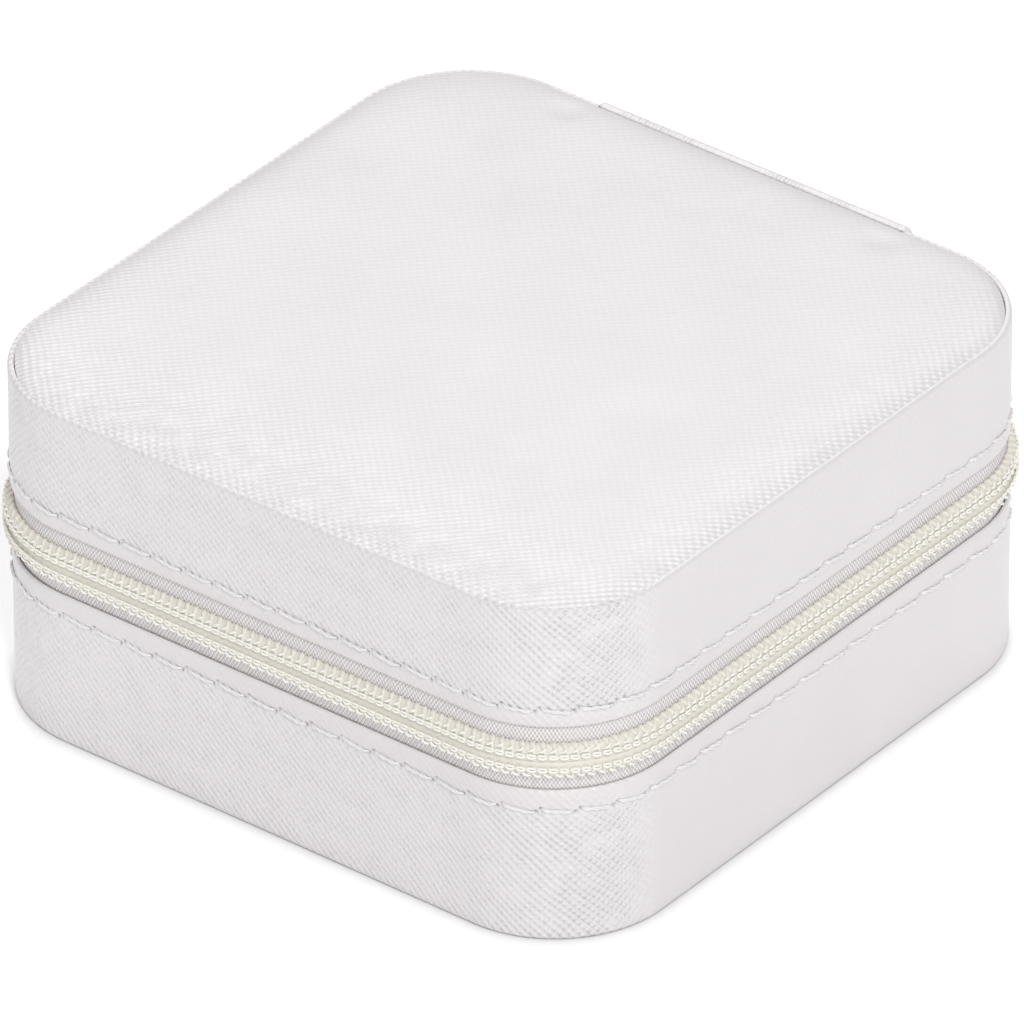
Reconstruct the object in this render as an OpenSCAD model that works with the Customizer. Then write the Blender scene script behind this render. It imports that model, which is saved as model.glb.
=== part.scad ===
// A square travel jewelry box: a padded lid and a lower half, joined by a cloth hinge and a coil zip.
// Millimetres. The origin is the middle of the underside, +Z is up, the front faces -Y, the hinge is at +Y.

/* [Box] */
// Width of the closed box, left to right
body_w = 100; // [92:1:112]
// Depth of the closed box, front to back
body_d = 100; // [92:1:112]
// Plan radius of the four upright corners
corner_r = 17; // [14:0.5:20]
// Height of the lid's upper rim
rim_h = 49.2; // [48:0.2:54]
// How far the padded top rises above the rim
crown_h = 0.8; // [0.4:0.1:1.4]
// Height of the lower half's side cover
base_h = 22.2; // [21:0.2:24]
// Height of the open band that shows the zip
band_h = 9.4; // [9.2:0.1:10]

/* [Walls] */
// Thickness of the covering leather
skin_t = 0.8; // [0.6:0.1:0.9]
// Distance from the outside to the inner face of the board walls
board_in = 2.8; // [2.6:0.1:3]
// Thickness of the lined frame inside each board wall
liner_t = 1; // [0.8:0.1:1.2]
// Thickness of the floor board and the top board
plate_t = 1.6; // [1.2:0.1:1.8]

/* [Zip] */
// Thickness of the zip tape
tape_t = 0.6; // [0.4:0.1:0.7]
// Height of one half of the coil chain
coil_h = 2.3; // [2:0.1:2.3]
// How far the coil chain stands proud of the covers
coil_proud = 1.1; // [0.8:0.1:1.2]
// Clear space between the two halves of the chain
chain_gap = 1; // [0.9:0.1:1.2]
// How far each tape is tucked behind its cover
tape_tuck = 5.8; // [4:0.2:7]
// Distance of the slider's middle behind the box's middle
slider_y = 28; // [10:1:28]

/* [Hinge] */
// Width of the cloth hinge patch on the back
patch_w = 51; // [40:1:56]
// Thickness of the hinge patch
patch_t = 0.9; // [0.6:0.1:1]
// Height of the hinge patch's lower edge
patch_low = 6; // [4:0.5:12]

/* [Stitching] */
// Distance from one stitch to the next
stitch_pitch = 5; // [3:0.5:6]
// Length of one stitch
stitch_l = 3.4; // [2:0.2:3.8]
// Distance of each stitch row from its cover's zip edge
stitch_edge = 2.8; // [2:0.1:4]

/* [Inside] */
// Height of the partition and the dividers above the floor lining
wall_rise = 15; // [12:0.5:16]
// Width of the ring section
ring_w = 40; // [34:1:44]
// Number of ring rolls
roll_count = 7; // [5:1:8]
// Thickness of the partition and the dividers
divider_t = 2; // [1.6:0.1:2.4]
// Number of necklace hooks
hook_count = 5; // [3:1:6]

/* [Hidden] */
$fn = 96;

white = [0.93, 0.92, 0.92];
card = [0.72, 0.68, 0.6];
velvet = [0.86, 0.83, 0.81];
tape_grey = [0.85, 0.83, 0.8];
ivory = [0.93, 0.91, 0.84];
metal = [0.8, 0.78, 0.74];
foam = [0.9, 0.88, 0.8];

// Insets are measured inwards from the outside of the covers.
tape_in = skin_t + tape_t;
liner_in = board_in + liner_t;
top_inset = 1;
foam_inset = 1.6;
crown_inset = 5;
hem_gap = 0.2;

// Heights, from the underside up.
floor_low = skin_t + plate_t;
floor_z = floor_low + skin_t;
zip_mid = base_h + band_h / 2;
lid_low = base_h + band_h;
frame_gap = 1;
base_frame_top = zip_mid - frame_gap / 2;
lid_frame_low = zip_mid + frame_gap / 2;
coil_low = zip_mid - chain_gap / 2 - coil_h;
coil_high = zip_mid + chain_gap / 2 + coil_h;
tape_edge = chain_gap / 2 + 0.1;
foam_t = 0.8;
top_cover_z = rim_h - 0.4;
top_plate_high = top_cover_z - foam_t;
top_plate_low = top_plate_high - plate_t;
ceiling_z = top_plate_low - skin_t;

// The stitch rows.
stitch_w = 0.4;
stitch_proud = 0.25;
stitch_slant = 6;
side_x = body_w - 2 * corner_r;
side_y = body_d - 2 * corner_r;
arc_l = PI * corner_r / 2;
half_round = side_x + side_y + 2 * arc_l;
row_count = round(2 * half_round / stitch_pitch);
patch_edge = 2.4;

// The compartments.
inner_x = body_w / 2 - liner_in;
inner_y = body_d / 2 - liner_in;
bed_t = 1.2;
partition_x = ring_w - inner_x;
roll_pitch = 2 * inner_y / roll_count;
roll_r = roll_pitch / 2 - 0.4;
play = 0.2;
divider_y = inner_y / 3;

// The lid's fittings, below the ceiling.
hook_pitch = 13;
hook_w = 5;
hook_y = -body_d / 2 + 17;
hook_reach = 3.4;
hook_t = 1.2;
hook_lip = 5.4;
strap_w = 11;
strap_l = 76;
pocket_w = 72;
pocket_front = 2;
pocket_d = 40;
pocket_gap = 2.2;
binding_w = 2;

// The zip slider, on the left side. Its u distances run outwards from the covers.
slider_l = 9.5;
slider_h = 7.4;
tail_h = 5.4;
plate_low = coil_proud + 0.3;
plate_high = plate_low + 0.9;
back_plate_out = tape_in + 0.2;
back_plate_in = back_plate_out + 0.9;
post_h = chain_gap - 0.2;
post_l = 2.4;
flange_t = 0.6;
flange_in = -0.2;
bail_leg_r = 0.75;
bail_span = 5.2;
bail_w = 1.7;
bail_under = plate_high + 2.1;
bail_high = bail_under + 0.9;
link_u = plate_high + 0.4;
link_t = 0.8;
eye_r = 2;
eye_hole_r = 0.95;
neck_w = 2.2;
bar_drop = 8.4;
bar_r = 0.5;
bar_hole_r = 0.58;
window_w = 4.4;
window_rise = 2.8;
frame_t = 1;
barrel_r = 1.15;
barrel_l = 3.8;
neck_drop = 1.7;
tab_w = 7.2;
tab_t = 1.6;
tab_l = 12.6;
tab_corner_r = 1.6;

// Plan outline of the box, moved inwards by inset.
module outline(inset) {
    r = corner_r - inset;
    w = body_w - 2 * inset;
    d = body_d - 2 * inset;
    square([w - 2 * r, d], center = true);
    square([w, d - 2 * r], center = true);
    for (sx = [-1, 1], sy = [-1, 1])
        translate([sx * (w / 2 - r), sy * (d / 2 - r)]) circle(r);
}

// A flat layer with the box's outline, from height low to height high.
module slab(inset, low, high) {
    translate([0, 0, low]) linear_extrude(high - low) outline(inset);
}

// A wall that follows the outline, between two insets and two heights.
module ring(outside, inside, low, high) {
    translate([0, 0, low])
        linear_extrude(high - low)
            difference() {
                outline(outside);
                outline(inside);
            }
}

// A wall that stops at both sides of the hinge, leaving gap open in the middle of the back.
module open_ring(outside, inside, low, high, gap) {
    translate([0, 0, low])
        linear_extrude(high - low)
            difference() {
                outline(outside);
                outline(inside);
                translate([-gap / 2, 0]) square([gap, body_d]);
            }
}

// A box given by its lowest and highest corners.
module block(low, high) {
    translate(low) cube(high - low);
}

// One half of the coil chain, thicker along its middle.
module chain_half(low) {
    shoulder = 0.4;
    end_gap = patch_w + 3.4;
    open_ring(shoulder - coil_proud, skin_t, low, low + coil_h, end_gap);
    open_ring(-coil_proud, shoulder - coil_proud, low + shoulder, low + coil_h - shoulder, end_gap);
}

// The pair of clamps that end one half of the chain, beside the hinge.
module end_stops(low) {
    for (side = [-1, 1])
        translate([side * (patch_w / 2 + 0.9), body_d / 2, low + coil_h / 2])
            cube([1.4, 2 * skin_t, coil_h - 0.1], center = true);
}

// Lower half

module base_cover() {
    color(white) ring(0, skin_t, hem_gap, base_h);
}

module bottom_cover() {
    color(white) slab(skin_t, 0, skin_t);
}

module base_board() {
    color(card) {
        ring(skin_t, board_in, skin_t, base_h - tape_tuck);
        ring(tape_in, board_in, base_h - tape_tuck, base_h);
    }
}

module floor_board() {
    color(card) slab(board_in, skin_t, floor_low);
}

module base_liner() {
    color(velvet) ring(board_in, liner_in, floor_low, base_frame_top);
}

module floor_liner() {
    color(velvet) slab(liner_in, floor_low, floor_z);
}

module partition() {
    color(velvet)
        block([partition_x, -inner_y, floor_z], [partition_x + divider_t, inner_y, floor_z + wall_rise]);
}

module ring_roll_bed() {
    color(foam)
        intersection() {
            slab(liner_in, floor_z, floor_z + bed_t);
            block([-body_w, -body_d, 0], [partition_x, body_d, rim_h]);
        }
}

module ring_rolls() {
    color(velvet)
        intersection() {
            slab(liner_in, floor_z, rim_h);
            for (i = [0 : roll_count - 1])
                translate([partition_x - ring_w, (i + 0.5) * roll_pitch - inner_y, floor_z + bed_t + roll_r])
                    rotate([0, 90, 0])
                        cylinder(h = ring_w, r = roll_r);
        }
}

module base_tape() {
    color(tape_grey)
        open_ring(skin_t, tape_in, base_h - tape_tuck, zip_mid - tape_edge, patch_w);
}

module base_coil() {
    color(ivory) chain_half(coil_low);
}

module base_zip_stops() {
    color(metal) end_stops(coil_low);
}

// Loose dividers

module divider(y) {
    color(velvet)
        block(
            [partition_x + divider_t + play, y - divider_t / 2, floor_z + play / 4],
            [inner_x - play, y + divider_t / 2, floor_z + wall_rise - 0.4]
        );
}

module divider_front() {
    divider(-divider_y);
}

module divider_rear() {
    divider(divider_y);
}

// Lid

module lid_cover() {
    color(white) ring(0, skin_t, lid_low, rim_h);
}

module top_cover() {
    color(white) {
        slab(top_inset, top_cover_z, rim_h);
        slab(crown_inset, rim_h, rim_h + crown_h);
    }
}

module top_foam() {
    color(foam) slab(foam_inset, top_plate_high, top_cover_z);
}

module top_board() {
    color(card) slab(skin_t, top_plate_low, top_plate_high);
}

module lid_board() {
    color(card) {
        ring(tape_in, board_in, lid_low, lid_low + tape_tuck);
        ring(skin_t, board_in, lid_low + tape_tuck, top_plate_low);
    }
}

module lid_liner() {
    color(velvet) ring(board_in, liner_in, lid_frame_low, top_plate_low);
}

module ceiling_liner() {
    color(velvet) slab(liner_in, ceiling_z, top_plate_low);
}

module hook_strap() {
    color(white)
        block(
            [-strap_l / 2, hook_y - strap_w / 2, ceiling_z - skin_t],
            [strap_l / 2, hook_y + strap_w / 2, ceiling_z]
        );
}

// One copy of the children at each hook's place.
module each_hook() {
    for (i = [0 : hook_count - 1])
        translate([(i - (hook_count - 1) / 2) * hook_pitch, hook_y, ceiling_z - skin_t]) children();
}

module hook_stems() {
    color(metal)
        each_hook() block([-hook_w / 2, 1, -hook_reach], [hook_w / 2, 1 + hook_t, 0]);
}

module hook_lips() {
    color(metal)
        each_hook()
            block(
                [-hook_w / 2, 1 + hook_t - hook_lip, -hook_reach - hook_t],
                [hook_w / 2, 1 + hook_t, -hook_reach]
            );
}

module pocket_panel() {
    color(velvet)
        block(
            [-pocket_w / 2, pocket_front + binding_w, ceiling_z - pocket_gap - skin_t],
            [pocket_w / 2, pocket_front + pocket_d, ceiling_z - pocket_gap]
        );
}

module pocket_binding() {
    back = pocket_front + pocket_d;
    low = ceiling_z - pocket_gap;
    side_x = pocket_w / 2 - binding_w;
    color(white) {
        block([-pocket_w / 2, pocket_front, low], [-side_x, back, ceiling_z]);
        block([side_x, pocket_front, low], [pocket_w / 2, back, ceiling_z]);
        block([-side_x, back - binding_w, low], [side_x, back, ceiling_z]);
    }
}

module pocket_elastic() {
    color(white)
        block(
            [-pocket_w / 2, pocket_front, ceiling_z - pocket_gap - skin_t - 0.4],
            [pocket_w / 2, pocket_front + binding_w, ceiling_z - pocket_gap]
        );
}

module lid_tape() {
    color(tape_grey)
        open_ring(skin_t, tape_in, zip_mid + tape_edge, lid_low + tape_tuck, patch_w);
}

module lid_coil() {
    color(ivory) chain_half(coil_high - coil_h);
}

module lid_zip_stops() {
    color(metal) end_stops(coil_high - coil_h);
}

// Cloth hinge

module hinge_patch() {
    color(white)
        block([-patch_w / 2, body_d / 2, patch_low], [patch_w / 2, body_d / 2 + patch_t, rim_h]);
}

module hinge_gusset() {
    y = body_d / 2 - board_in + 0.2;
    color(velvet) block([-patch_w / 2, y, base_h], [patch_w / 2, y + skin_t, lid_low]);
}

// Stitching

// Moves the children to the outside of the box, t along the half round that starts at the front left,
// with +X along the row and -Y pointing outwards.
module along_half(t) {
    if (t < side_x)
        translate([t - side_x / 2, -body_d / 2]) children();
    else if (t < side_x + arc_l)
        translate([side_x / 2, -side_y / 2])
            rotate((t - side_x) / corner_r * 180 / PI)
                translate([0, -corner_r]) children();
    else if (t < side_x + arc_l + side_y)
        translate([body_w / 2, t - side_x - arc_l - side_y / 2]) rotate(90) children();
    else
        translate([side_x / 2, side_y / 2])
            rotate((t - side_x - side_y) / corner_r * 180 / PI)
                translate([0, -corner_r]) children();
}

module stitch() {
    rotate([0, stitch_slant, 0])
        block([-stitch_l / 2, -stitch_proud, -stitch_w / 2], [stitch_l / 2, 0, stitch_w / 2]);
}

// A row of stitches round the box, left open behind the hinge patch.
module stitch_row(z) {
    for (i = [0 : row_count - 1]) {
        s = (i + 0.5) * 2 * half_round / row_count;
        back = s >= half_round;
        t = back ? s - half_round : s;
        under_patch = back && abs(t - side_x / 2) < (patch_w + stitch_l) / 2 + 0.4;
        if (!under_patch)
            rotate(back ? 180 : 0) along_half(t) translate([0, 0, z]) stitch();
    }
}

// A straight row of stitches on the hinge patch, from one end to the other, as [x, z] points.
module patch_row(start, end) {
    run = end - start;
    count = floor(norm(run) / stitch_pitch);
    for (i = [0 : count - 1]) {
        place = start + run * (i + 0.5) / count;
        translate([place[0], body_d / 2 + patch_t, place[1]])
            rotate([0, -atan2(run[1], run[0]), 0])
                mirror([0, 1, 0]) stitch();
    }
}

module base_stitches() {
    color(white) stitch_row(base_h - stitch_edge);
}

module lid_stitches() {
    color(white) stitch_row(lid_low + stitch_edge);
}

// Three sides of a rectangle on the patch, from the zip to the patch's far edge.
module patch_rows(zip_side, far_side) {
    x = patch_w / 2 - patch_edge;
    patch_row([-x, zip_side], [-x, far_side]);
    patch_row([x, zip_side], [x, far_side]);
    patch_row([-x, far_side], [x, far_side]);
}

module patch_stitches_base() {
    color(white) patch_rows(base_h - 1, patch_low + patch_edge);
}

module patch_stitches_lid() {
    color(white) patch_rows(lid_low + 1, rim_h - patch_edge);
}

// Zip slider. Its plates lie on both sides of the tape and are joined by a post between the chain halves.

// Moves the children to the slider's middle, with +X pointing outwards from the left side.
module on_left_side(y) {
    translate([-body_w / 2, y, zip_mid]) mirror([1, 0, 0]) children();
}

// A slider plate between two u distances: wide at the nose, narrower at the tail.
module slider_plate(low, high) {
    shoulder = slider_l / 6;
    translate([low, 0, 0])
        rotate([90, 0, 90])
            linear_extrude(high - low)
                polygon([
                    [slider_l / 2, -slider_h / 2],
                    [slider_l / 2, slider_h / 2],
                    [-shoulder, slider_h / 2],
                    [-slider_l / 2, tail_h / 2],
                    [-slider_l / 2, -tail_h / 2],
                    [-shoulder, -slider_h / 2]
                ]);
}

module slider_body() {
    nose = slider_l / 2;
    color(metal)
        on_left_side(slider_y) {
            slider_plate(plate_low, plate_high);
            slider_plate(-back_plate_in, -back_plate_out);
            block([-back_plate_out, nose - post_l, -post_h / 2], [plate_low, nose, post_h / 2]);
            block(
                [flange_in, -slider_l / 6, -slider_h / 2],
                [plate_low, nose, flange_t - slider_h / 2]
            );
            for (end = [-1, 1])
                translate([plate_high, end * bail_span / 2, 0])
                    rotate([0, 90, 0])
                        cylinder(h = bail_high - plate_high, r = bail_leg_r);
            block([bail_under, -bail_span / 2, -bail_w / 2], [bail_high, bail_span / 2, bail_w / 2]);
        }
}

// Moves the children to the leg of the bail that carries the link.
module on_link_leg() {
    on_left_side(slider_y + bail_span / 2) children();
}

module pull_link() {
    side_y = window_w / 2;
    color(metal)
        on_link_leg()
            difference() {
                union() {
                    translate([link_u, 0, 0]) rotate([0, 90, 0]) cylinder(h = link_t, r = eye_r);
                    block(
                        [link_u, -neck_w / 2, window_rise - bar_drop],
                        [link_u + link_t, neck_w / 2, 0]
                    );
                    block(
                        [link_u, -side_y - frame_t, window_rise - bar_drop],
                        [link_u + link_t, side_y + frame_t, window_rise - bar_drop + frame_t]
                    );
                    for (end = [-1, 1])
                        translate([link_u, end * (side_y + frame_t / 2) - frame_t / 2, -bar_drop - bar_r])
                            cube([link_t, frame_t, window_rise + bar_r + frame_t]);
                    translate([link_u + link_t / 2, side_y, -bar_drop])
                        rotate([90, 0, 0])
                            cylinder(h = window_w, r = bar_r);
                }
                translate([link_u - 1, 0, 0]) rotate([0, 90, 0]) cylinder(h = link_t + 2, r = eye_hole_r);
            }
}

// The pull tab: a barrel on the link's bar, a neck and a flat tab with rounded lower corners.
module pull_tab() {
    low = -neck_drop - tab_l;
    color(white)
        on_link_leg()
            translate([link_u + link_t / 2, 0, -bar_drop])
                difference() {
                    union() {
                        translate([0, barrel_l / 2, 0])
                            rotate([90, 0, 0])
                                cylinder(h = barrel_l, r = barrel_r);
                        block([-tab_t / 2, -barrel_l / 2, -neck_drop], [tab_t / 2, barrel_l / 2, 0]);
                        translate([-tab_t / 2, 0, 0])
                            rotate([90, 0, 90])
                                linear_extrude(tab_t) {
                                    translate([-tab_w / 2, low + tab_corner_r])
                                        square([tab_w, tab_l - tab_corner_r]);
                                    translate([-tab_w / 2 + tab_corner_r, low])
                                        square([tab_w - 2 * tab_corner_r, tab_l]);
                                    for (end = [-1, 1])
                                        translate([end * (tab_w / 2 - tab_corner_r), low + tab_corner_r])
                                            circle(tab_corner_r);
                                }
                    }
                    translate([0, barrel_l, 0])
                        rotate([90, 0, 0])
                            cylinder(h = 2 * barrel_l, r = bar_hole_r);
                }
}

base_cover();
bottom_cover();
base_board();
floor_board();
base_liner();
floor_liner();
partition();
ring_roll_bed();
ring_rolls();
base_tape();
base_coil();
base_zip_stops();
divider_front();
divider_rear();
lid_cover();
top_cover();
top_foam();
top_board();
lid_board();
lid_liner();
ceiling_liner();
hook_strap();
hook_stems();
hook_lips();
pocket_panel();
pocket_binding();
pocket_elastic();
lid_tape();
lid_coil();
lid_zip_stops();
hinge_patch();
hinge_gusset();
base_stitches();
lid_stitches();
patch_stitches_base();
patch_stitches_lid();
slider_body();
pull_link();
pull_tab();
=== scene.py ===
"""The looks of a square travel jewelry box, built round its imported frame.

Lengths are in millimetres until a mesh is made. A band that follows the box is drawn in three distances:
s along the outline, anticlockwise seen from above, from the left end of the front; u outwards from the
outside of the covers; and z upwards. An inset is a distance inwards, so it is -u.
"""
import math

import bmesh
import bpy
import numpy as np
from mathutils import Matrix, Vector


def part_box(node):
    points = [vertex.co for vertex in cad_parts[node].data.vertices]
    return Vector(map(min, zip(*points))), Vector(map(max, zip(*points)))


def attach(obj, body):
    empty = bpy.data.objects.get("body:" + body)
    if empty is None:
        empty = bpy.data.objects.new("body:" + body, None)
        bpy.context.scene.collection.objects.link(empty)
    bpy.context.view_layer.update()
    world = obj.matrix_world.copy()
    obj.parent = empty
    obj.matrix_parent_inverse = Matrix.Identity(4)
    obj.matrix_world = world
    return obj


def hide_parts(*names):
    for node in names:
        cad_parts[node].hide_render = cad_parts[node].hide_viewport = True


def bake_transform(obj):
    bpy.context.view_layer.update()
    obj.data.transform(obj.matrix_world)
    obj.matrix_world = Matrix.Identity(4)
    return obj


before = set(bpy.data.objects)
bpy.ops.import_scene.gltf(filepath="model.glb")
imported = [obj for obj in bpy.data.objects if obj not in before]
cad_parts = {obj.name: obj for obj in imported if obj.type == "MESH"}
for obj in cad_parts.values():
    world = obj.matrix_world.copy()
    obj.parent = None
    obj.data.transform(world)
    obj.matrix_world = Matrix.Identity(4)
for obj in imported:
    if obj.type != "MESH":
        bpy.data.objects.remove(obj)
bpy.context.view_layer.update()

MM = 0.001
TAU = 2 * math.pi


def limits(node):
    """Lowest and highest corner of a CAD node, in millimetres."""
    low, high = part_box(node)
    return np.array(low) / MM, np.array(high) / MM


# ---- camera, light and floor

CAMERA_AZIMUTH = math.radians(38.643)
CAMERA_ELEVATION = math.radians(33.117)
CAMERA_ROLL = math.radians(-0.458)
CAMERA_DISTANCE = 2190.55
CAMERA_HEIGHT = 28.79
AIM_HEIGHT = 22.3
LENS = 608.0
SENSOR = 36.0
CLIP_START_M = 0.1
CLIP_END_M = 50.0

WHITE = (1.0, 1.0, 1.0)
WORLD_STRENGTH = 0.56
LIGHT_DISTANCE_M = 1.6
KEY_LIGHT = {"azimuth": 50, "elevation": 48, "size_m": 0.35, "power": 10.7}
GLEAM_LIGHT = {"azimuth": 44, "elevation": 12, "size_m": 0.25, "power": 5.0}
RIM_LIGHT = {"azimuth": -140, "elevation": 42, "size_m": 0.8, "power": 8.0}


def direction(azimuth, elevation):
    """Unit vector from the box towards an azimuth, from the front towards the right, and an elevation."""
    flat = math.cos(elevation)
    return Vector((math.sin(azimuth) * flat, -math.cos(azimuth) * flat, math.sin(elevation)))


def make_camera():
    data = bpy.data.cameras.new("camera")
    data.lens = LENS
    data.sensor_width = SENSOR
    data.clip_start = CLIP_START_M
    data.clip_end = CLIP_END_M
    camera = bpy.data.objects.new("camera", data)
    bpy.context.collection.objects.link(camera)
    place = direction(CAMERA_AZIMUTH, CAMERA_ELEVATION) * CAMERA_DISTANCE + Vector((0, 0, CAMERA_HEIGHT))
    back = (place - Vector((0, 0, AIM_HEIGHT))).normalized()
    right = Vector((0, 0, 1)).cross(back).normalized()
    up = back.cross(right)
    rolled_right = right * math.cos(CAMERA_ROLL) + up * math.sin(CAMERA_ROLL)
    rolled_up = up * math.cos(CAMERA_ROLL) - right * math.sin(CAMERA_ROLL)
    turn = Matrix((rolled_right, rolled_up, back)).transposed().to_4x4()
    camera.matrix_world = Matrix.Translation(place * MM) @ turn
    bpy.context.scene.camera = camera


def area_light(name, azimuth, elevation, size_m, power):
    """A square soft box that faces the box."""
    data = bpy.data.lights.new(name, "AREA")
    data.shape = "SQUARE"
    data.size = size_m
    data.energy = power
    light = bpy.data.objects.new(name, data)
    bpy.context.collection.objects.link(light)
    towards = direction(math.radians(azimuth), math.radians(elevation))
    light.location = towards * LIGHT_DISTANCE_M
    light.rotation_mode = "QUATERNION"
    light.rotation_quaternion = towards.to_track_quat("Z", "Y")
    return light


def make_studio():
    """A white world, a key light, a rim light, and a low light that only gives a gleam."""
    scene = bpy.context.scene
    scene.view_settings.view_transform = "Standard"
    scene.view_settings.look = "None"
    world = bpy.data.worlds.new("studio")
    scene.world = world
    world.use_nodes = True
    background = world.node_tree.nodes["Background"]
    background.inputs["Color"].default_value = (*WHITE, 1.0)
    background.inputs["Strength"].default_value = WORLD_STRENGTH
    area_light("key_light", **KEY_LIGHT)
    gleam = area_light("gleam_light", **GLEAM_LIGHT)
    gleam.visible_diffuse = False
    area_light("rim_light", **RIM_LIGHT)


# ---- node graphs

class Graph:
    """A material's nodes, with short calls for the maths that a pattern needs."""

    def __init__(self, name):
        self.material = bpy.data.materials.new(name)
        self.material.use_nodes = True
        self.tree = self.material.node_tree
        self.tree.nodes.clear()
        self.shader = self.tree.nodes.new("ShaderNodeBsdfPrincipled")
        output = self.tree.nodes.new("ShaderNodeOutputMaterial")
        self.tree.links.new(self.shader.outputs[0], output.inputs[0])

    def node(self, kind, **inputs):
        made = self.tree.nodes.new("ShaderNode" + kind)
        for name, value in inputs.items():
            self.plug(made.inputs[name.replace("_", " ")], value)
        return made

    def plug(self, socket, value):
        if isinstance(value, bpy.types.NodeSocket):
            self.tree.links.new(value, socket)
        else:
            socket.default_value = value

    def maths(self, operation, *values):
        made = self.tree.nodes.new("ShaderNodeMath")
        made.operation = operation
        for socket, value in zip(made.inputs, values):
            self.plug(socket, value)
        return made.outputs[0]

    def chain(self, operation, values):
        total = values[0]
        for value in values[1:]:
            total = self.maths(operation, total, value)
        return total

    def add(self, *values):
        return self.chain("ADD", values)

    def times(self, *values):
        return self.chain("MULTIPLY", values)

    def wave(self, place, pitch):
        """From 0 in the valleys to 1 on the crests of straight waves across place."""
        swing = self.maths("COSINE", self.times(place, TAU / pitch))
        return self.maths("MULTIPLY_ADD", swing, 0.5, 0.5)

    def surface(self):
        """The piece's own two distances across its surface, and how deep its grain is pressed there, which
        also sets how much painted light the leather's colour gets.
        """
        made = self.tree.nodes.new("ShaderNodeAttribute")
        made.attribute_name = "grain"
        vector = made.outputs["Vector"]
        apart = self.node("SeparateXYZ", Vector=vector)
        return vector, *apart.outputs

    def solid(self):
        """The place in the piece, in millimetres."""
        place = self.tree.nodes.new("ShaderNodeTexCoord").outputs["Object"]
        scaled = self.tree.nodes.new("ShaderNodeVectorMath")
        scaled.operation = "SCALE"
        self.plug(scaled.inputs[0], place)
        scaled.inputs["Scale"].default_value = 1 / MM
        return scaled.outputs[0]

    def noise(self, vector, size, detail=2.0, rough=0.5):
        """Smooth noise round 0.5, with blots of about size millimetres."""
        made = self.node("TexNoise", Vector=vector, Scale=1 / size, Detail=detail, Roughness=rough)
        return made.outputs["Fac"]

    def mix(self, share, first, second):
        made = self.tree.nodes.new("ShaderNodeMix")
        made.data_type = "RGBA"
        self.plug(made.inputs["Factor"], share)
        self.plug(made.inputs["A"], (*first, 1.0) if isinstance(first, tuple) else first)
        self.plug(made.inputs["B"], (*second, 1.0) if isinstance(second, tuple) else second)
        return made.outputs["Result"]

    def bump(self, height, depth, strength=1.0):
        """Relief of depth millimetres on the shader."""
        made = self.node("Bump", Height=height, Distance=depth * MM, Strength=strength)
        self.plug(self.shader.inputs["Normal"], made.outputs[0])

    def finish(self, **values):
        for name, value in values.items():
            socket = self.shader.inputs[name.replace("_", " ")]
            is_colour = socket.type == "RGBA" and isinstance(value, tuple)
            self.plug(socket, (*value, 1.0) if is_colour else value)
        return self.material


# ---- leather

DIAGONAL = 0.70711
SWAY_SIZE = 7.0
SWAY_REACH = 0.9
SHAKE_SIZE = 0.9
SHAKE_REACH = 0.16
BEAD_SHARPNESS = 1.5
BEAD_GAIN = 0.55
BEAD_SHINE = -0.14
PATCHY_SIZE = 2.6
PATCHY_GAIN = 1.7
PATCHY_FLOOR = 0.15
PORE_SIZE = 0.28
PORE_GAIN = 0.1
CLOUD_SIZE = 16.0
CLOUD_SHARE = 0.3
LINE_MIDDLE = 0.4
# How much painted light the press adds to the leather's colour.
PAINTED_LIGHT_SHARE = 0.38
DARK_SHARE = -0.04
LEATHER_ROUGHNESS = 0.36


def leather(name, light, dark, depth, contrast, pitches, gains):
    """Coated leather with two families of fine pressed lines, and a bead where they cross. Where the grain
    is pressed deeper, its colour is painted lighter and its lines and beads get a painted highlight:
    painted light on the near corner and the top's rolled front edge.
    """
    g = Graph(name)
    vector, u, v, press_and_light = g.surface()
    sway = g.noise(vector, SWAY_SIZE, 1.0)
    shake = g.noise(vector, SHAKE_SIZE)
    drift = g.add(g.times(sway, SWAY_REACH), g.times(shake, SHAKE_REACH))
    rising = g.times(g.add(u, v), DIAGONAL)
    falling = g.times(g.maths("SUBTRACT", u, v), DIAGONAL)
    ridge_a = g.wave(g.add(rising, drift), pitches[0])
    ridge_b = g.wave(g.maths("SUBTRACT", falling, drift), pitches[1])
    bead = g.maths("POWER", g.times(ridge_a, ridge_b), BEAD_SHARPNESS)
    patchy = g.maths("MULTIPLY_ADD", g.noise(vector, PATCHY_SIZE, 3.0), PATCHY_GAIN, PATCHY_FLOOR)
    bead = g.times(bead, g.maths("MINIMUM", press_and_light, 1.0))
    beaded = g.times(bead, BEAD_GAIN)
    lines = g.add(g.times(ridge_a, gains[0]), g.times(ridge_b, gains[1]), beaded)
    height = g.add(g.times(lines, patchy, press_and_light), g.times(g.noise(vector, PORE_SIZE), PORE_GAIN))
    g.bump(height, depth)
    cloud = g.noise(vector, CLOUD_SIZE)
    # The lines' own tint, made stronger by the press into a painted highlight on the lines and beads.
    grain_tint_and_painted_highlight = g.times(g.maths("SUBTRACT", lines, LINE_MIDDLE), press_and_light, contrast)
    # Painted light: the colour is made lighter in step with the press.
    share = g.add(grain_tint_and_painted_highlight, g.times(cloud, CLOUD_SHARE), g.times(press_and_light, PAINTED_LIGHT_SHARE), DARK_SHARE)
    colour = g.mix(share, dark, light)
    shine = g.maths("MULTIPLY_ADD", bead, BEAD_SHINE, LEATHER_ROUGHNESS)
    return g.finish(Base_Color=colour, Roughness=shine, Specular_IOR_Level=0.5)


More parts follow.
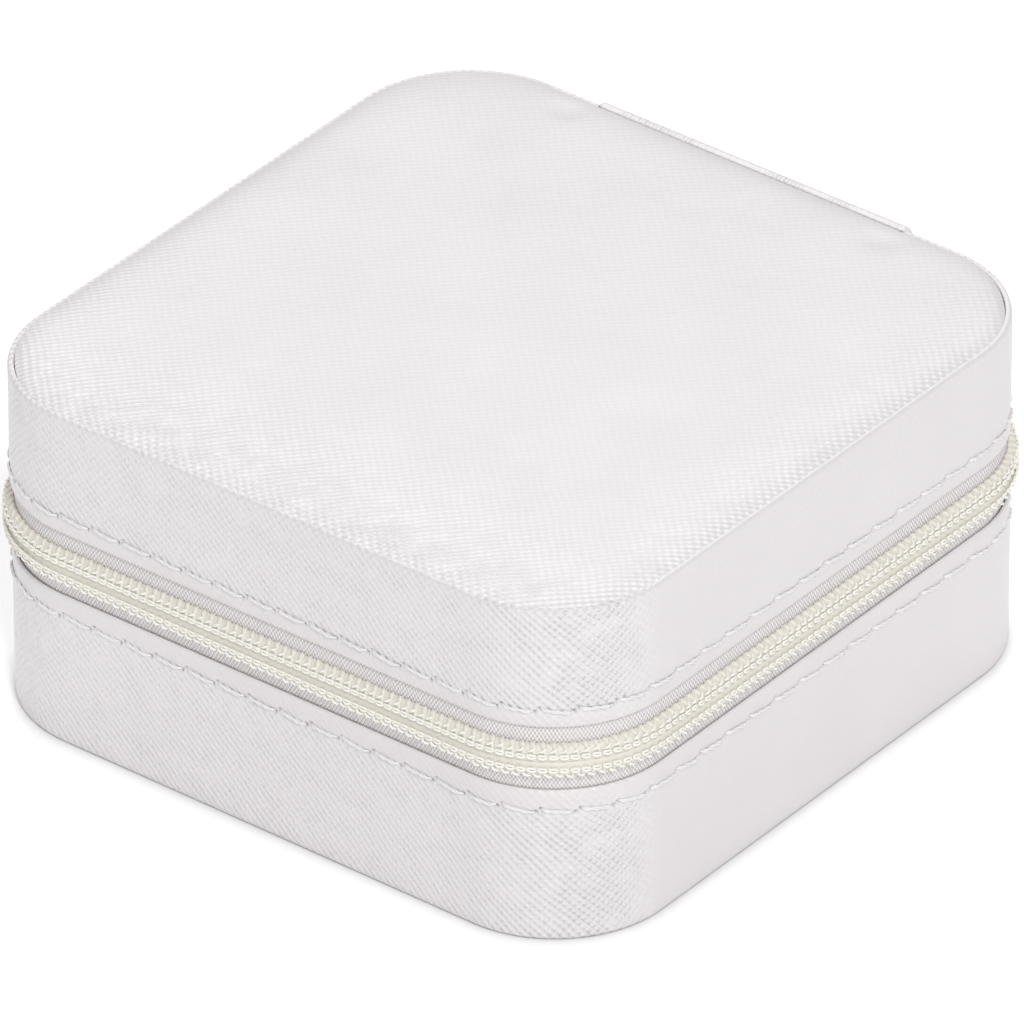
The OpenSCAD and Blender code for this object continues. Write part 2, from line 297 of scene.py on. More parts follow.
# Each leather reaches its light colour only where the press is high, and there that colour is painted
# light.
COVER = leather(
    "cover_leather",
    light=(0.81, 0.785, 0.795),
    dark=(0.69, 0.66, 0.672),
    depth=0.15,
    contrast=0.4,
    pitches=(0.88, 0.84),
    gains=(0.5, 0.26),
)
# The top's wide range lets the press paint its rolled front edge lighter: painted light and painted
# highlight.
PANEL = leather(
    "panel_leather",
    light=(0.85, 0.828, 0.836),
    dark=(0.6, 0.578, 0.587),
    depth=0.075,
    contrast=0.72,
    pitches=(1.0, 0.84),
    gains=(0.28, 0.5),
)

# ---- woven tape and elastic

YARN_SHAKE_SIZE = 0.8
YARN_SHAKE = (0.16, 0.1)
YARN_SHARPNESS = 1.1
YARN_AND_GAP_SHADE_SHARE = 0.85
FIBRE_SIZE = 0.12
FIBRE_RELIEF = 0.3
FIBRE_SHARE = 0.25


def woven(name, light, dark, pitches, depth, soft=0.0):
    """A tight weave: raised dots of yarn in staggered rows, with painted shade on the darker ground in the
    gaps between them.
    """
    g = Graph(name)
    vector, u, v, _ = g.surface()
    shake = g.maths("SUBTRACT", g.noise(vector, YARN_SHAKE_SIZE), 0.5)
    across, along = [
        g.maths("COSINE", g.times(g.add(place, g.times(shake, reach)), TAU / pitch))
        for place, reach, pitch in zip((u, v), YARN_SHAKE, pitches)
    ]
    dots = g.maths("MULTIPLY_ADD", g.times(across, along), 0.5, 0.5)
    fibre = g.noise(vector, FIBRE_SIZE)
    g.bump(g.add(dots, g.times(fibre, FIBRE_RELIEF)), depth)
    # Painted shade: the yarn dots are pale and the gaps between them dark.
    yarn_and_gap_shade = g.times(g.maths("POWER", dots, YARN_SHARPNESS), YARN_AND_GAP_SHADE_SHARE)
    colour = g.mix(g.maths("MULTIPLY_ADD", fibre, FIBRE_SHARE, yarn_and_gap_shade), dark, light)
    return g.finish(Base_Color=colour, Roughness=0.86, Sheen_Weight=soft, Sheen_Roughness=0.5)


# The dark colours are painted shade in the gaps of the weave.
TAPE = woven("tape_weave", (1.0, 0.97, 0.968), (0.47, 0.43, 0.44), (0.52, 0.88), depth=0.12)
ELASTIC = woven("elastic_weave", (0.80, 0.78, 0.76), (0.52, 0.50, 0.48), (0.5, 0.9), depth=0.10, soft=0.2)

# ---- velvet

BRUSHED_SIZE = 9.0
BRUSHED_SHARE = 0.7
BRUSHED_RELIEF = 0.6
PILE_SIZE = 0.16
PILE_SHARE = 0.45
PILE_DEPTH = 0.12
PILE_STRENGTH = 0.8
VELVET_DARK_SHARE = -0.05


def velvet(name, light, dark):
    """Short pile: it is pale where it is brushed, and shines at a low angle."""
    g = Graph(name)
    place = g.solid()
    brushed = g.noise(place, BRUSHED_SIZE, 3.0, 0.6)
    pile = g.noise(place, PILE_SIZE)
    share = g.add(g.times(brushed, BRUSHED_SHARE), g.times(pile, PILE_SHARE), VELVET_DARK_SHARE)
    g.bump(g.add(pile, g.times(brushed, BRUSHED_RELIEF)), PILE_DEPTH, PILE_STRENGTH)
    colour = g.mix(share, dark, light)
    return g.finish(Base_Color=colour, Roughness=0.92, Sheen_Weight=0.55, Sheen_Roughness=0.35)


LINING = velvet("lining_velvet", light=(0.62, 0.565, 0.53), dark=(0.44, 0.39, 0.36))

# ---- board, foam, thread, nylon and metal

BROAD_SIZES = 12
FINE_SHARE = 0.6
BROAD_SHARE = 0.4
BROAD_SHINE = 0.2


def plain(name, light, dark, size, depth, rough, **more):
    """A material whose colour and relief follow one fine noise."""
    g = Graph(name)
    place = g.solid()
    fine = g.noise(place, size, 3.0, 0.6)
    broad = g.noise(place, size * BROAD_SIZES)
    g.bump(fine, depth)
    colour = g.mix(g.add(g.times(fine, FINE_SHARE), g.times(broad, BROAD_SHARE)), dark, light)
    shine = g.maths("MULTIPLY_ADD", g.maths("SUBTRACT", broad, 0.5), BROAD_SHINE, rough)
    return g.finish(Base_Color=colour, Roughness=shine, **more)


TRANSLUCENT = {"Subsurface_Weight": 0.3, "Subsurface_Radius": (1.0, 0.95, 0.85), "Subsurface_Scale": 0.0005}
FUZZY = {"Sheen_Weight": 0.1}
BOARD = plain("greyboard", (0.50, 0.46, 0.40), (0.33, 0.30, 0.26), size=0.35, depth=0.05, rough=0.85)
FOAM = plain("sponge_foam", (0.72, 0.68, 0.58), (0.52, 0.48, 0.38), size=0.5, depth=0.12, rough=0.9)
THREAD = plain("sewing_thread", (0.88, 0.86, 0.865), (0.74, 0.72, 0.725), 0.09, 0.02, rough=0.42, **FUZZY)
COIL = plain("coil_nylon", (0.835, 0.80, 0.73), (0.765, 0.72, 0.64), 0.3, 0.05, rough=0.4, **TRANSLUCENT)
CHAIN_THREAD = plain("chain_thread", (0.93, 0.915, 0.87), (0.85, 0.83, 0.77), 0.1, 0.02, rough=0.42)
METAL = plain("pale_gold", (0.80, 0.70, 0.52), (0.68, 0.58, 0.42), 0.6, 0.004, rough=0.24, Metallic=1.0)

# ---- floor

FLOOR_SIZE_M = 8.0
FLOOR_CLOUD = 60.0
FLOOR_DARK = (0.94, 0.94, 0.94)
FLOOR_LIGHT = (0.96, 0.96, 0.96)
FLOOR_GLOW = 0.19
CONTACT_REACH = 2.6
CONTACT_FALL = 0.7
CONTACT_COLOUR = (0.45, 0.45, 0.45)
CONTACT_SAMPLES = 4


def floor_material():
    """A pale floor that glows a little, apart from a narrow shadow where the box meets it."""
    g = Graph("floor")
    cloud = g.noise(g.solid(), FLOOR_CLOUD)
    pale = g.mix(cloud, FLOOR_DARK, FLOOR_LIGHT)
    near = g.node("AmbientOcclusion", Distance=CONTACT_REACH * MM)
    near.samples = CONTACT_SAMPLES
    lit = g.maths("POWER", near.outputs["AO"], CONTACT_FALL)
    colour = g.mix(lit, CONTACT_COLOUR, pale)
    glow = g.times(lit, FLOOR_GLOW)
    return g.finish(Base_Color=colour, Roughness=0.9, Emission_Color=WHITE, Emission_Strength=glow)


def make_floor():
    bpy.ops.mesh.primitive_plane_add(size=FLOOR_SIZE_M, location=(0, 0, 0))
    floor = bpy.context.object
    floor.name = "studio_floor"
    floor.data.materials.append(floor_material())


# ---- the box's outline

COVER_HIGH = limits("base_cover")[1]
HALF = COVER_HIGH[0]
CORNER = 17.0
SIDE = 2 * (HALF - CORNER)
ARC = math.pi * CORNER / 2
ROUND = 4 * (SIDE + ARC)
BACK_START = 2 * (SIDE + ARC)
BACK_MIDDLE = BACK_START + SIDE / 2
SKIN = 0.8


def rail(s):
    """Points of the box's outline at distances s along it, and the directions outwards there."""
    s = np.mod(np.asarray(s, float), ROUND)
    quarter = np.minimum((s // (SIDE + ARC)).astype(int), 3)
    along = s - quarter * (SIDE + ARC)
    on_arc = along > SIDE
    angle = np.where(on_arc, (along - SIDE) / CORNER, 0.0)
    out_x, out_y = np.sin(angle), -np.cos(angle)
    x = np.where(on_arc, SIDE / 2 + CORNER * out_x, along - SIDE / 2)
    y = np.where(on_arc, -SIDE / 2 + CORNER * out_y, -HALF)
    cos, sin = np.cos(quarter * math.pi / 2), np.sin(quarter * math.pi / 2)
    at = np.stack([x * cos - y * sin, x * sin + y * cos], axis=-1)
    out = np.stack([out_x * cos - out_y * sin, out_x * sin + out_y * cos], axis=-1)
    return at, out


def wrap(points):
    """Points in s, u and z, as points in x, y and z."""
    at, out = rail(points[..., 0])
    flat = at + out * points[..., 1:2]
    return np.concatenate([flat, points[..., 2:3]], axis=-1)


def around(step):
    """Places all round the outline, from the middle of the back, about step apart."""
    return BACK_MIDDLE + np.arange(round(ROUND / step)) * ROUND / round(ROUND / step)


def beside_hinge(half_gap, step):
    """Places round the outline from one side of the hinge to the other."""
    count = round((ROUND - 2 * half_gap) / step)
    return BACK_MIDDLE + np.linspace(half_gap, ROUND - half_gap, count)


def from_back_middle(s):
    """Distance along the outline to the middle of the back."""
    away = np.mod(s - BACK_MIDDLE, ROUND)
    return np.minimum(away, ROUND - away)


# ---- meshes

DETAIL = "_detail"


def make(name, points, faces, material, grain=None, outwards=False):
    """A smooth mesh object from points in millimetres. A name that a CAD node has gets an ending.

    grain has two distances, and perhaps a depth of pressing that also sets the leather's painted light, for
    each point or face corner.
    """
    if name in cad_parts:
        name += DETAIL
    mesh = bpy.data.meshes.new(name)
    mesh.from_pydata((np.asarray(points) * MM).tolist(), [], [list(map(int, f)) for f in faces])
    if grain is not None:
        domain = "POINT" if len(grain) == len(points) else "CORNER"
        places = np.ones((len(grain), 3), np.float32)
        places[:, : grain.shape[1]] = grain
        mesh.attributes.new("grain", "FLOAT_VECTOR", domain).data.foreach_set("vector", places.ravel())
    if outwards:
        made = bmesh.new()
        made.from_mesh(mesh)
        bmesh.ops.recalc_face_normals(made, faces=made.faces)
        made.to_mesh(mesh)
        made.free()
    mesh.polygons.foreach_set("use_smooth", [True] * len(mesh.polygons))
    mesh.materials.append(material)
    mesh.update()
    piece = bpy.data.objects.new(name, mesh)
    bpy.context.collection.objects.link(piece)
    return piece


def stand_in(piece, *nodes):
    """Hides the CAD node that a piece stands in for: its own, or the nodes named."""
    own = piece.name.removesuffix(DETAIL)
    if own != piece.name:
        nodes = (own,)
    if nodes:
        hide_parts(*nodes)


def join(piece, body, *nodes):
    """Puts a piece on its body."""
    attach(piece, body)
    stand_in(piece, *nodes)
    return piece


def quads(count_a, count_b, loop_a, loop_b):
    """Faces of a grid of points, and each face's grid places before they wrap round."""
    a, b = np.meshgrid(
        np.arange(count_a if loop_a else count_a - 1),
        np.arange(count_b if loop_b else count_b - 1),
        indexing="ij",
    )
    a, b = a.ravel(), b.ravel()
    corner_a = np.stack([a, a + 1, a + 1, a], axis=1)
    corner_b = np.stack([b, b, b + 1, b + 1], axis=1)
    faces = (corner_a % count_a) * count_b + corner_b % count_b
    return faces, corner_a, corner_b


def lengths(rows):
    """Distance along a line of points, from its first, with the way back to the first at the end."""
    closed = np.vstack([rows, rows[:1]])
    return np.concatenate([[0], np.cumsum(np.linalg.norm(np.diff(closed, axis=0), axis=1))])


def band(name, s, inset, z, material, whole=True, press_and_light=1.0):
    """A solid band along the outline. Its section runs up the outside and down the inside."""
    rows = np.shape(z)[-1]
    inset = np.broadcast_to(inset, (len(s), rows))
    z = np.broadcast_to(z, (len(s), rows))
    points = wrap(np.stack([np.broadcast_to(s[:, None], z.shape), -inset, z], axis=-1))
    faces, corner_a, corner_b = quads(len(s), rows, whole, True)
    along = np.append(s, s[0] + ROUND)
    up = lengths(np.stack([inset[0], z[0]], axis=1))
    # The press per face corner sets both the grain's depth and the leather's painted light.
    pressed_and_lit = np.broadcast_to(press_and_light, z.shape)[corner_a % len(s), corner_b % rows]
    grain = np.stack([along[corner_a], up[corner_b], pressed_and_lit], axis=-1).reshape(-1, 3)
    faces = faces.tolist()
    if not whole:
        last = (len(s) - 1) * rows
        faces += [list(range(rows)), list(range(last + rows - 1, last - 1, -1))]
        ends = np.zeros((2 * rows, 3))
        grain = np.vstack([grain, ends])
    return make(name, points.reshape(-1, 3), faces, material, grain)


INNER_RING = 16.0


def plan(s, inset):
    """Points at s and inset. Past INNER_RING the outline shrinks to the middle."""
    at, out = rail(s)
    flat = at[:, None] - out[:, None] * np.minimum(inset, INNER_RING)[..., None]
    return flat * np.minimum(1, (HALF - inset) / (HALF - INNER_RING))[..., None]


def disc(name, s, inset, z, material, press_and_light=None):
    """A closed plate with the box's outline. Its section runs from the lower middle round to the upper."""
    inset = np.broadcast_to(inset, (len(s), np.shape(inset)[-1]))
    z = np.broadcast_to(z, inset.shape)
    points = np.concatenate([plan(s, inset), z[..., None]], axis=-1)
    count, rows = z.shape
    faces = quads(count, rows, True, False)[0].tolist()
    low, high = count * rows, count * rows + 1
    nearest = [(i * rows, (i + 1) % count * rows) for i in range(count)]
    faces += [[low, second, first] for first, second in nearest]
    faces += [[high, first + rows - 1, second + rows - 1] for first, second in nearest]
    middles = [[0, 0, z[:, 0].mean()], [0, 0, z[:, -1].mean()]]
    points = np.vstack([points.reshape(-1, 3), middles])
    grain = points[:, :2]
    # The press sets both the grain's depth and the leather's painted light.
    if press_and_light:
        grain = np.column_stack([grain, press_and_light(*grain.T)])
    return make(name, points, faces, material, grain)


def tube(path, radius, sides, closed=False):
    """Points and faces of a round tube along a path, with open ends where it isn't closed."""
    path = np.asarray(path, float)
    radius = np.broadcast_to(radius, len(path))
    ahead = np.roll(path, -1, axis=0) - np.roll(path, 1, axis=0)
    if not closed:
        ahead[0] = path[1] - path[0]
        ahead[-1] = path[-1] - path[-2]
    ahead /= np.linalg.norm(ahead, axis=1)[:, None]
    side = np.empty_like(path)
    seed = np.eye(3)[np.argmin(np.abs(ahead[0]))]
    for i, tangent in enumerate(ahead):
        seed = seed - tangent * (seed @ tangent)
        seed /= np.linalg.norm(seed)
        side[i] = seed
    other = np.cross(ahead, side)
    angle = np.arange(sides) * TAU / sides
    rings = (
        path[:, None]
        + radius[:, None, None] * np.cos(angle)[None, :, None] * side[:, None]
        + radius[:, None, None] * np.sin(angle)[None, :, None] * other[:, None]
    )
    faces = quads(len(path), sides, closed, True)[0][:, ::-1].tolist()
    if not closed:
        last = (len(path) - 1) * sides
        faces += [list(range(sides)), list(range(last + sides - 1, last - 1, -1))]
    return rings.reshape(-1, 3), faces


def gather(parts):
    """Several sets of points and faces as one."""
    points, faces, start = [], [], 0
    for some_points, some_faces in parts:
        points.append(some_points)
        faces += [[start + i for i in face] for face in some_faces]
        start += len(some_points)
    return np.vstack(points), faces


EDGE_SHARES = np.array([0.0, 0.05, 0.15, 0.3, 0.5, 0.75])


def spaced(low, high, step, edge):
    """Places from low to high about step apart, closer together within edge of both ends."""
    near = EDGE_SHARES * edge
    middle = np.linspace(low + edge, high - edge, max(2, round((high - low - 2 * edge) / step) + 1))
    return np.concatenate([low + near, middle, (high - near)[::-1]])


def sheet_grid(us, vs, corner, top, low, place):
    """A closed thin piece over a rectangle with rounded corners.

    top and low give its two faces' heights from u, v and the distance d to the edge, where the two meet.
    place turns u, v and a height into x, y and z.
    """
    u, v = np.meshgrid(us, vs, indexing="ij")
    half_u, half_v = (us[-1] - us[0]) / 2, (vs[-1] - vs[0]) / 2
    mid_u, mid_v = (us[-1] + us[0]) / 2, (vs[-1] + vs[0]) / 2
    from_end = half_v - np.abs(v - mid_v)
    bite = corner - np.sqrt(np.maximum(corner**2 - np.maximum(corner - from_end, 0) ** 2, 0))
    u = mid_u + (u - mid_u) * (half_u - bite) / half_u
    d = np.minimum(half_u - bite - np.abs(u - mid_u), from_end)
    d = np.maximum(d, 0)
    upper = place(u, v, top(u, v, d))
    under = place(u, v, low(u, v, d))
    count_u, count_v = u.shape
    edge = np.ones_like(u, bool)
    edge[1:-1, 1:-1] = False
    index = np.arange(u.size).reshape(u.shape)
    below = np.where(edge, index, index + u.size)
    faces = quads(count_u, count_v, False, False)[0]
    under_faces = below.ravel()[faces][:, ::-1]
    points = np.concatenate([upper.reshape(-1, 3), under.reshape(-1, 3)])
    used = np.unique(np.concatenate([faces, under_faces]))
    renumber = np.zeros(len(points), int)
    renumber[used] = np.arange(len(used))
    grain = np.tile(np.stack([u.ravel(), v.ravel()], axis=1), (2, 1))[used]
    return points[used], renumber[np.concatenate([faces, under_faces])].tolist(), grain


def domed(thickness, edge):
    """A face that rises from its edge in a quarter round and then stays level."""
    def height(u, v, d):
        short = 1 - np.minimum(d / edge, 1)
        return thickness * np.sqrt(1 - short**2)
    return height


def below(height):
    """The same face turned over."""
    return lambda u, v, d: -height(u, v, d)


def level(u, v, d):
    """A flat face."""
    return 0 * d


# ---- relief

def bell(away, width):
    """1 in the middle, and falling off over about width to both sides."""
    return np.exp(-((away / width) ** 2))


def fade(away, length):
    """1 at an edge, and falling off over about length."""
    return np.exp(-away / length)


def squared(swing, power):
    """A sine or cosine with flatter crests."""
    return np.sign(swing) * np.abs(swing) ** power


# ---- side covers

PATCH_LOW, PATCH_HIGH = limits("hinge_patch")
STITCH_COUNT = 74
STITCH_PITCH = ROUND / STITCH_COUNT
STITCH_LENGTH = 4.0
STITCH_SLANT = math.tan(math.radians(6))
STITCH_EDGE = 2.8
HIDDEN_STITCH = PATCH_HIGH[0] + 2.1
TRENCH_DEPTH = 0.02
TRENCH_WIDTH = 0.7
TRENCH_END = 0.15
HOLE_DEPTH = 0.9
HOLE_RADIUS = 0.24
HOLE_BEYOND = 0.12

COVER_STEP = 0.22
WALL_STEP = 1.5
FINE_STEP = 0.15
FINE_REACH = 1.05
BROAD_WAVE = 0.05
FINE_WAVE = 0.035
BASE_FOLD = 0.3
LID_FOLD = 0.2

# Each section is a list of (inset, height).
FOOT_EDGE = [(SKIN, 1.2), (SKIN, 0.5), (0.62, 0.2), (0.42, 0.06), (0.24, 0.1), (0.08, 0.3), (0.01, 0.6)]
FOLD_EDGE = [(0.05, -0.25), (0.14, -0.08), (0.27, 0.0), (0.4, -0.08), (0.5, -0.3), (SKIN, -1.3)]
RIM_EDGE = [
    (0.02, -0.45), (0.08, -0.2), (0.2, -0.05), (0.36, 0.0), (0.7, 0.0), (0.84, -0.03),
    (0.87, -0.12), (0.88, -0.9), (SKIN, -1.4),
]

# Press by the way a side faces, in degrees from the front towards the right: grain depth, and painted light
# in the colour, most on the near corner.
PRESS_TURNS = (-180, -90, -45, 0, 20, 42, 66, 80, 90, 135, 180)
PRESS_AND_LIGHT_LEVELS = (0.6, 0.6, 0.8, 0.75, 1.0, 1.4, 1.35, 0.65, 0.16, 0.16, 0.6)
EDGE_FLATTENING = 0.55
EDGE_SOFTNESS = 0.5


def stitch_places():
    """Where the middles of the stitches are along the outline, apart from those behind the patch."""
    s = (np.arange(STITCH_COUNT) + 0.5) * STITCH_PITCH
    return s[from_back_middle(s) > HIDDEN_STITCH]


def needle_marks(s, z, row):
    """How far the thread pulls the leather in, round a row of stitches at height row."""
    away = (np.mod(s / STITCH_PITCH, 1) - 0.5) * STITCH_PITCH
    across = z - row + away * STITCH_SLANT
    past_end = np.abs(away) - STITCH_LENGTH / 2
    lying = 0.5 - 0.5 * np.tanh(past_end / TRENCH_END)
    trench = TRENCH_DEPTH * bell(across, TRENCH_WIDTH) * lying
    hole = HOLE_DEPTH * bell(past_end - HOLE_BEYOND, HOLE_RADIUS) * bell(across, HOLE_RADIUS)
    shown = from_back_middle(s) > HIDDEN_STITCH - 1
    return (trench + hole) * shown


def unevenness(s, z):
    """Slow, slight waves of leather that was glued on by hand: five and nine of them round the box."""
    turn = TAU * s / ROUND
    broad = BROAD_WAVE * np.sin(5 * turn + 1.3) * np.sin(0.16 * z + 0.4)
    return broad + FINE_WAVE * np.sin(9 * turn + 0.21 * z)


def press_and_light_along(s):
    """How deep the grain is pressed along the sides, by the way each side faces, and so how much painted
    light its colour gets: most on the near corner and the front, least on the right and at the back right.
    """
    out = rail(s)[1]
    turn = np.degrees(np.arctan2(out[:, 0], -out[:, 1]))
    return np.interp(turn, PRESS_TURNS, PRESS_AND_LIGHT_LEVELS)


def wall_rows(low, high, row):
    """Heights of a side wall's points, close together round a stitch row."""
    fine = row + np.arange(-FINE_REACH, FINE_REACH + 0.01, FINE_STEP)
    below = np.arange(low, fine[0] - 0.3, WALL_STEP)
    above = np.arange(fine[-1] + 0.5, high, WALL_STEP)
    return np.sort(np.concatenate([fine, below, above, [high]]))


def cover_band(name, edge_low, edge_high, wall, row, body):
    """A side cover: its outer wall between two shaped edges, with the needle marks of a stitch row."""
    s = around(COVER_STEP)
    inset, z = np.array(edge_low + [(0.0, height) for height in wall] + edge_high).T
    on_wall = np.zeros(len(z))
    on_wall[len(edge_low) : len(edge_low) + len(wall)] = 1
    s_grid, z_grid = np.meshgrid(s, z, indexing="ij")
    moved = inset + on_wall * (needle_marks(s_grid, z_grid, row) + unevenness(s_grid, z_grid))
    towards_zip = 1 if body == "base" else -1
    # Towards the zip the press is less: shallower grain and less painted light.
    flattened = 0.5 + 0.5 * np.tanh((z_grid - row) * towards_zip / EDGE_SOFTNESS)
    press_and_light = press_and_light_along(s)[:, None] * (1 - EDGE_FLATTENING * flattened)
    join(band(name, s, moved, z_grid, COVER, press_and_light=press_and_light), body)


def raised(edge, z, sign=1):
    """A section with its heights counted from z, up or down."""
    return [(inset, z + sign * height) for inset, height in edge]


def make_covers():
    top = COVER_HIGH[2] + BASE_FOLD
    row = COVER_HIGH[2] - STITCH_EDGE
    wall = wall_rows(FOOT_EDGE[0][1], top - 0.5, row)
    cover_band("base_cover", FOOT_EDGE, raised(FOLD_EDGE, top), wall, row, "base")

    low, rim = (corner[2] for corner in limits("lid_cover"))
    fold = low + LID_FOLD
    row = low + STITCH_EDGE
    wall = wall_rows(fold + 0.5, rim - 0.8, row)
    cover_band("lid_cover", raised(FOLD_EDGE[::-1], fold, -1), raised(RIM_EDGE, rim), wall, row, "lid")


# ---- bottom and top

MIDDLE_GAP = 0.5
BOTTOM_THICKNESS = 0.8
BOTTOM_SECTION = [
    (HALF - MIDDLE_GAP, 0.0), (30, 0.0), (12, 0.0), (4, 0.0), (1.6, 0.0), (1.0, 0.04), (0.86, 0.2),
    (0.84, 0.6), (1.0, 0.78), (2.0, 0.8), (12, 0.8), (30, 0.8), (HALF - MIDDLE_GAP, 0.8),
]

CROWN = 0.72
ROLL_LENGTH = 1.9
MIDDLE_SWELL = 0.42
LIP_INSET = 0.58
LIP_DROP = 0.03
CORNER_DROP = 0.2
CORNER_DROP_REACH = 0.8
CORNER_GAP = 0.38
CORNER_GAP_REACH = 1.5
CORNER_LOWERING = 0.35
BACK_LOWERING = 0.4
DENT_DEPTH = 0.2
DENT_SPREAD = 5.0
DENT_FROM_BACK = 4.5
DENT_SHIFT = -1.5
PAD_MIDDLE = HALF - LIP_INSET - 0.6
PAD_STEPS = np.concatenate([
    np.array([0.0, 0.04, 0.1, 0.18, 0.3, 0.45]),
    np.arange(0.65, 3.0, 0.3),
    np.arange(3.0, 9.0, 0.6),
    np.linspace(9.0, PAD_MIDDLE, 22),
])
UNDER_STEPS = np.array([PAD_MIDDLE, 20.0, 3.0, 0.7, 0.25, 0.06])
UNDER_HEIGHTS = np.array([0.0, 0.0, 0.0, 0.0, -0.04, -0.02])
# Press on the top: grain depth, and painted light in the colour, strongest at the front edge.
TOP_PRESS = 0.22
FRONT_PRESS = 1.9
LEFT_PRESS = 0.8
RIGHT_PRESS = 1.5


def make_bottom():
    low, high = limits("bottom_cover")
    inset, z = np.array(BOTTOM_SECTION).T
    z = low[2] + z * (high[2] - low[2]) / BOTTOM_THICKNESS
    join(disc("bottom_cover", around(2.0), inset, z, COVER), "base")


def press_and_light_on_top(x, y):
    """How deep the top's grain is pressed: it is deepest where the leather rolls down at its edges, and
    there its colour gets painted light, most at the front edge.
    """
    front, left, right = y + HALF, x + HALF, HALF - x
    beside_left = LEFT_PRESS * fade(left, 10) * fade(front, 32)
    beside_right = RIGHT_PRESS * fade(right, 5) * fade(front, 90)
    beside = np.maximum(beside_left, beside_right)
    return TOP_PRESS + np.maximum(FRONT_PRESS * fade(front, 7.5), beside)


def groove_opened(s):
    """From 0 to 1, how far the groove opens at the right front and left back corners."""
    turned = np.mod(s, SIDE + ARC) - SIDE
    in_corner = np.where(turned > 0, np.sin(math.pi * np.clip(turned / ARC, 0, 1)), 0.0) ** 2
    return in_corner * (np.mod(s, 2 * (SIDE + ARC)) > SIDE + ARC)


def pad_height(x, y):
    """The pad's height over its lip: rolled at its edge, swollen, and dented at the patch's ends."""
    to_corner = np.clip((np.abs(x * y) / HALF**2 - 0.5) / 0.3, 0, 1)
    to_back = np.clip(y / HALF, 0, 1)
    roll = CROWN * (1 - fade(PAD_STEPS, ROLL_LENGTH))
    height = roll * (1 - CORNER_LOWERING * to_corner**2 - BACK_LOWERING * to_back**2)
    height = height + MIDDLE_SWELL * np.cos(math.pi * x / 2 / HALF) * np.cos(math.pi * y / 2 / HALF)
    for patch_end in (PATCH_LOW[0], PATCH_HIGH[0]):
        away = (x - patch_end - DENT_SHIFT) ** 2 + (y - HALF + DENT_FROM_BACK) ** 2
        height = height - DENT_DEPTH * fade(away, DENT_SPREAD)
    return height


def make_top():
    """The padded top: leather over thin foam, rolled down to a groove inside the rim."""
    s = around(1.0)
    opened = groove_opened(s)[:, None]
    steps = np.concatenate([UNDER_STEPS, PAD_STEPS])
    inset = LIP_INSET + steps + CORNER_GAP * opened * fade(steps, CORNER_GAP_REACH)
    x, y = np.moveaxis(plan(s, inset[:, len(UNDER_STEPS) :]), -1, 0)
    lip = limits("lid_cover")[1][2] - LIP_DROP - CORNER_DROP * opened * fade(PAD_STEPS, CORNER_DROP_REACH)
    under = np.broadcast_to(limits("top_cover")[0][2] + UNDER_HEIGHTS, (len(s), len(UNDER_STEPS)))
    piece = disc("top_cover", s, inset, np.hstack([under, lip + pad_height(x, y)]), PANEL, press_and_light_on_top)
    join(piece, "lid")


# ---- stitches

THREAD_R = 0.15
THREAD_TWIST = 2.5
THREAD_RISE = 0.13
PLY_RISE = 0.1
PLY_REACH = 0.13
DIP_DEPTH = 0.55
DIP_START = 0.72
DIP_CURVE = 1.5
UNEVEN_RATES = np.array([2.3, 3.7, 5.1])
UNEVEN_LENGTH = 0.16
UNEVEN_SLANT = 0.05
UNEVEN_HEIGHT = 0.06
PATCH_STITCH = 3.6


def stitch(length=STITCH_LENGTH, slant=STITCH_SLANT):
    """One stitch of two-ply thread, lying along x and dipping into its needle holes, with y outwards."""
    t = np.linspace(-1, 1, 33)
    x = t * length / 2
    into_hole = np.maximum(np.abs(t) - DIP_START, 0) / (1 - DIP_START)
    rise = THREAD_RISE - DIP_DEPTH * into_hole**DIP_CURVE
    parts = []
    for ply in (0, math.pi):
        turn = TAU * x / THREAD_TWIST + ply
        path = np.stack([x, rise + PLY_RISE * np.sin(turn), PLY_REACH * np.cos(turn) - x * slant], axis=1)
        parts.append(tube(path, THREAD_R, 7))
    return gather(parts)


def stitch_row(name, z, body):
    """A row of stitches round the box, each a little longer, higher or steeper than the next."""
    parts = []
    for i, s in enumerate(stitch_places()):
        longer, steeper, higher = np.sin(UNEVEN_RATES * i + z)
        length = STITCH_LENGTH + UNEVEN_LENGTH * longer
        points, faces = stitch(length, STITCH_SLANT + UNEVEN_SLANT * steeper)
        parts.append((wrap(points + [s, 0.0, z + UNEVEN_HEIGHT * higher]), faces))
    join(make(name, *gather(parts), THREAD), body)


def patch_stitches(name, lines, surface_y, body):
    """Straight rows of stitches on the hinge patch, each from one x, z point to another."""
    points, faces = stitch(PATCH_STITCH)
    faces = [face[::-1] for face in faces]
    parts = []
    for start, end in lines:
        run = np.subtract(end, start)
        count = int(np.linalg.norm(run) // STITCH_PITCH)
        ahead = run / np.linalg.norm(run)
        across = np.array([-ahead[1], ahead[0]])
        for i in range(count):
            middle = start + run * (i + 0.5) / count
            x, z = (middle + points[:, :1] * ahead + points[:, 2:3] * across).T
            parts.append((np.column_stack([x, surface_y + points[:, 1], z]), faces))
    join(make(name, *gather(parts), THREAD), body)


# ---- zip

CHAIN_PITCH = 1.31
ZIP_MIDDLE = (limits("base_coil")[1][2] + limits("lid_coil")[0][2]) / 2 + 0.2

# The tape's section, as (inset, height) on a tape 9.9 mm tall.
TAPE_HEIGHT = 9.9
TAPE_SECTION = [
    (SKIN, 0.0), (SKIN, 2.0), (SKIN, 4.4), (0.66, 5.4), (0.54, 6.2), (0.46, 7.4), (0.46, 9.6), (0.6, 9.86),
    (0.95, 9.9), (1.2, 9.8), (1.36, 9.4), (1.4, 6.0), (1.4, 0.0),
]
TAPE_GAP = PATCH_HIGH[0] + 0.05

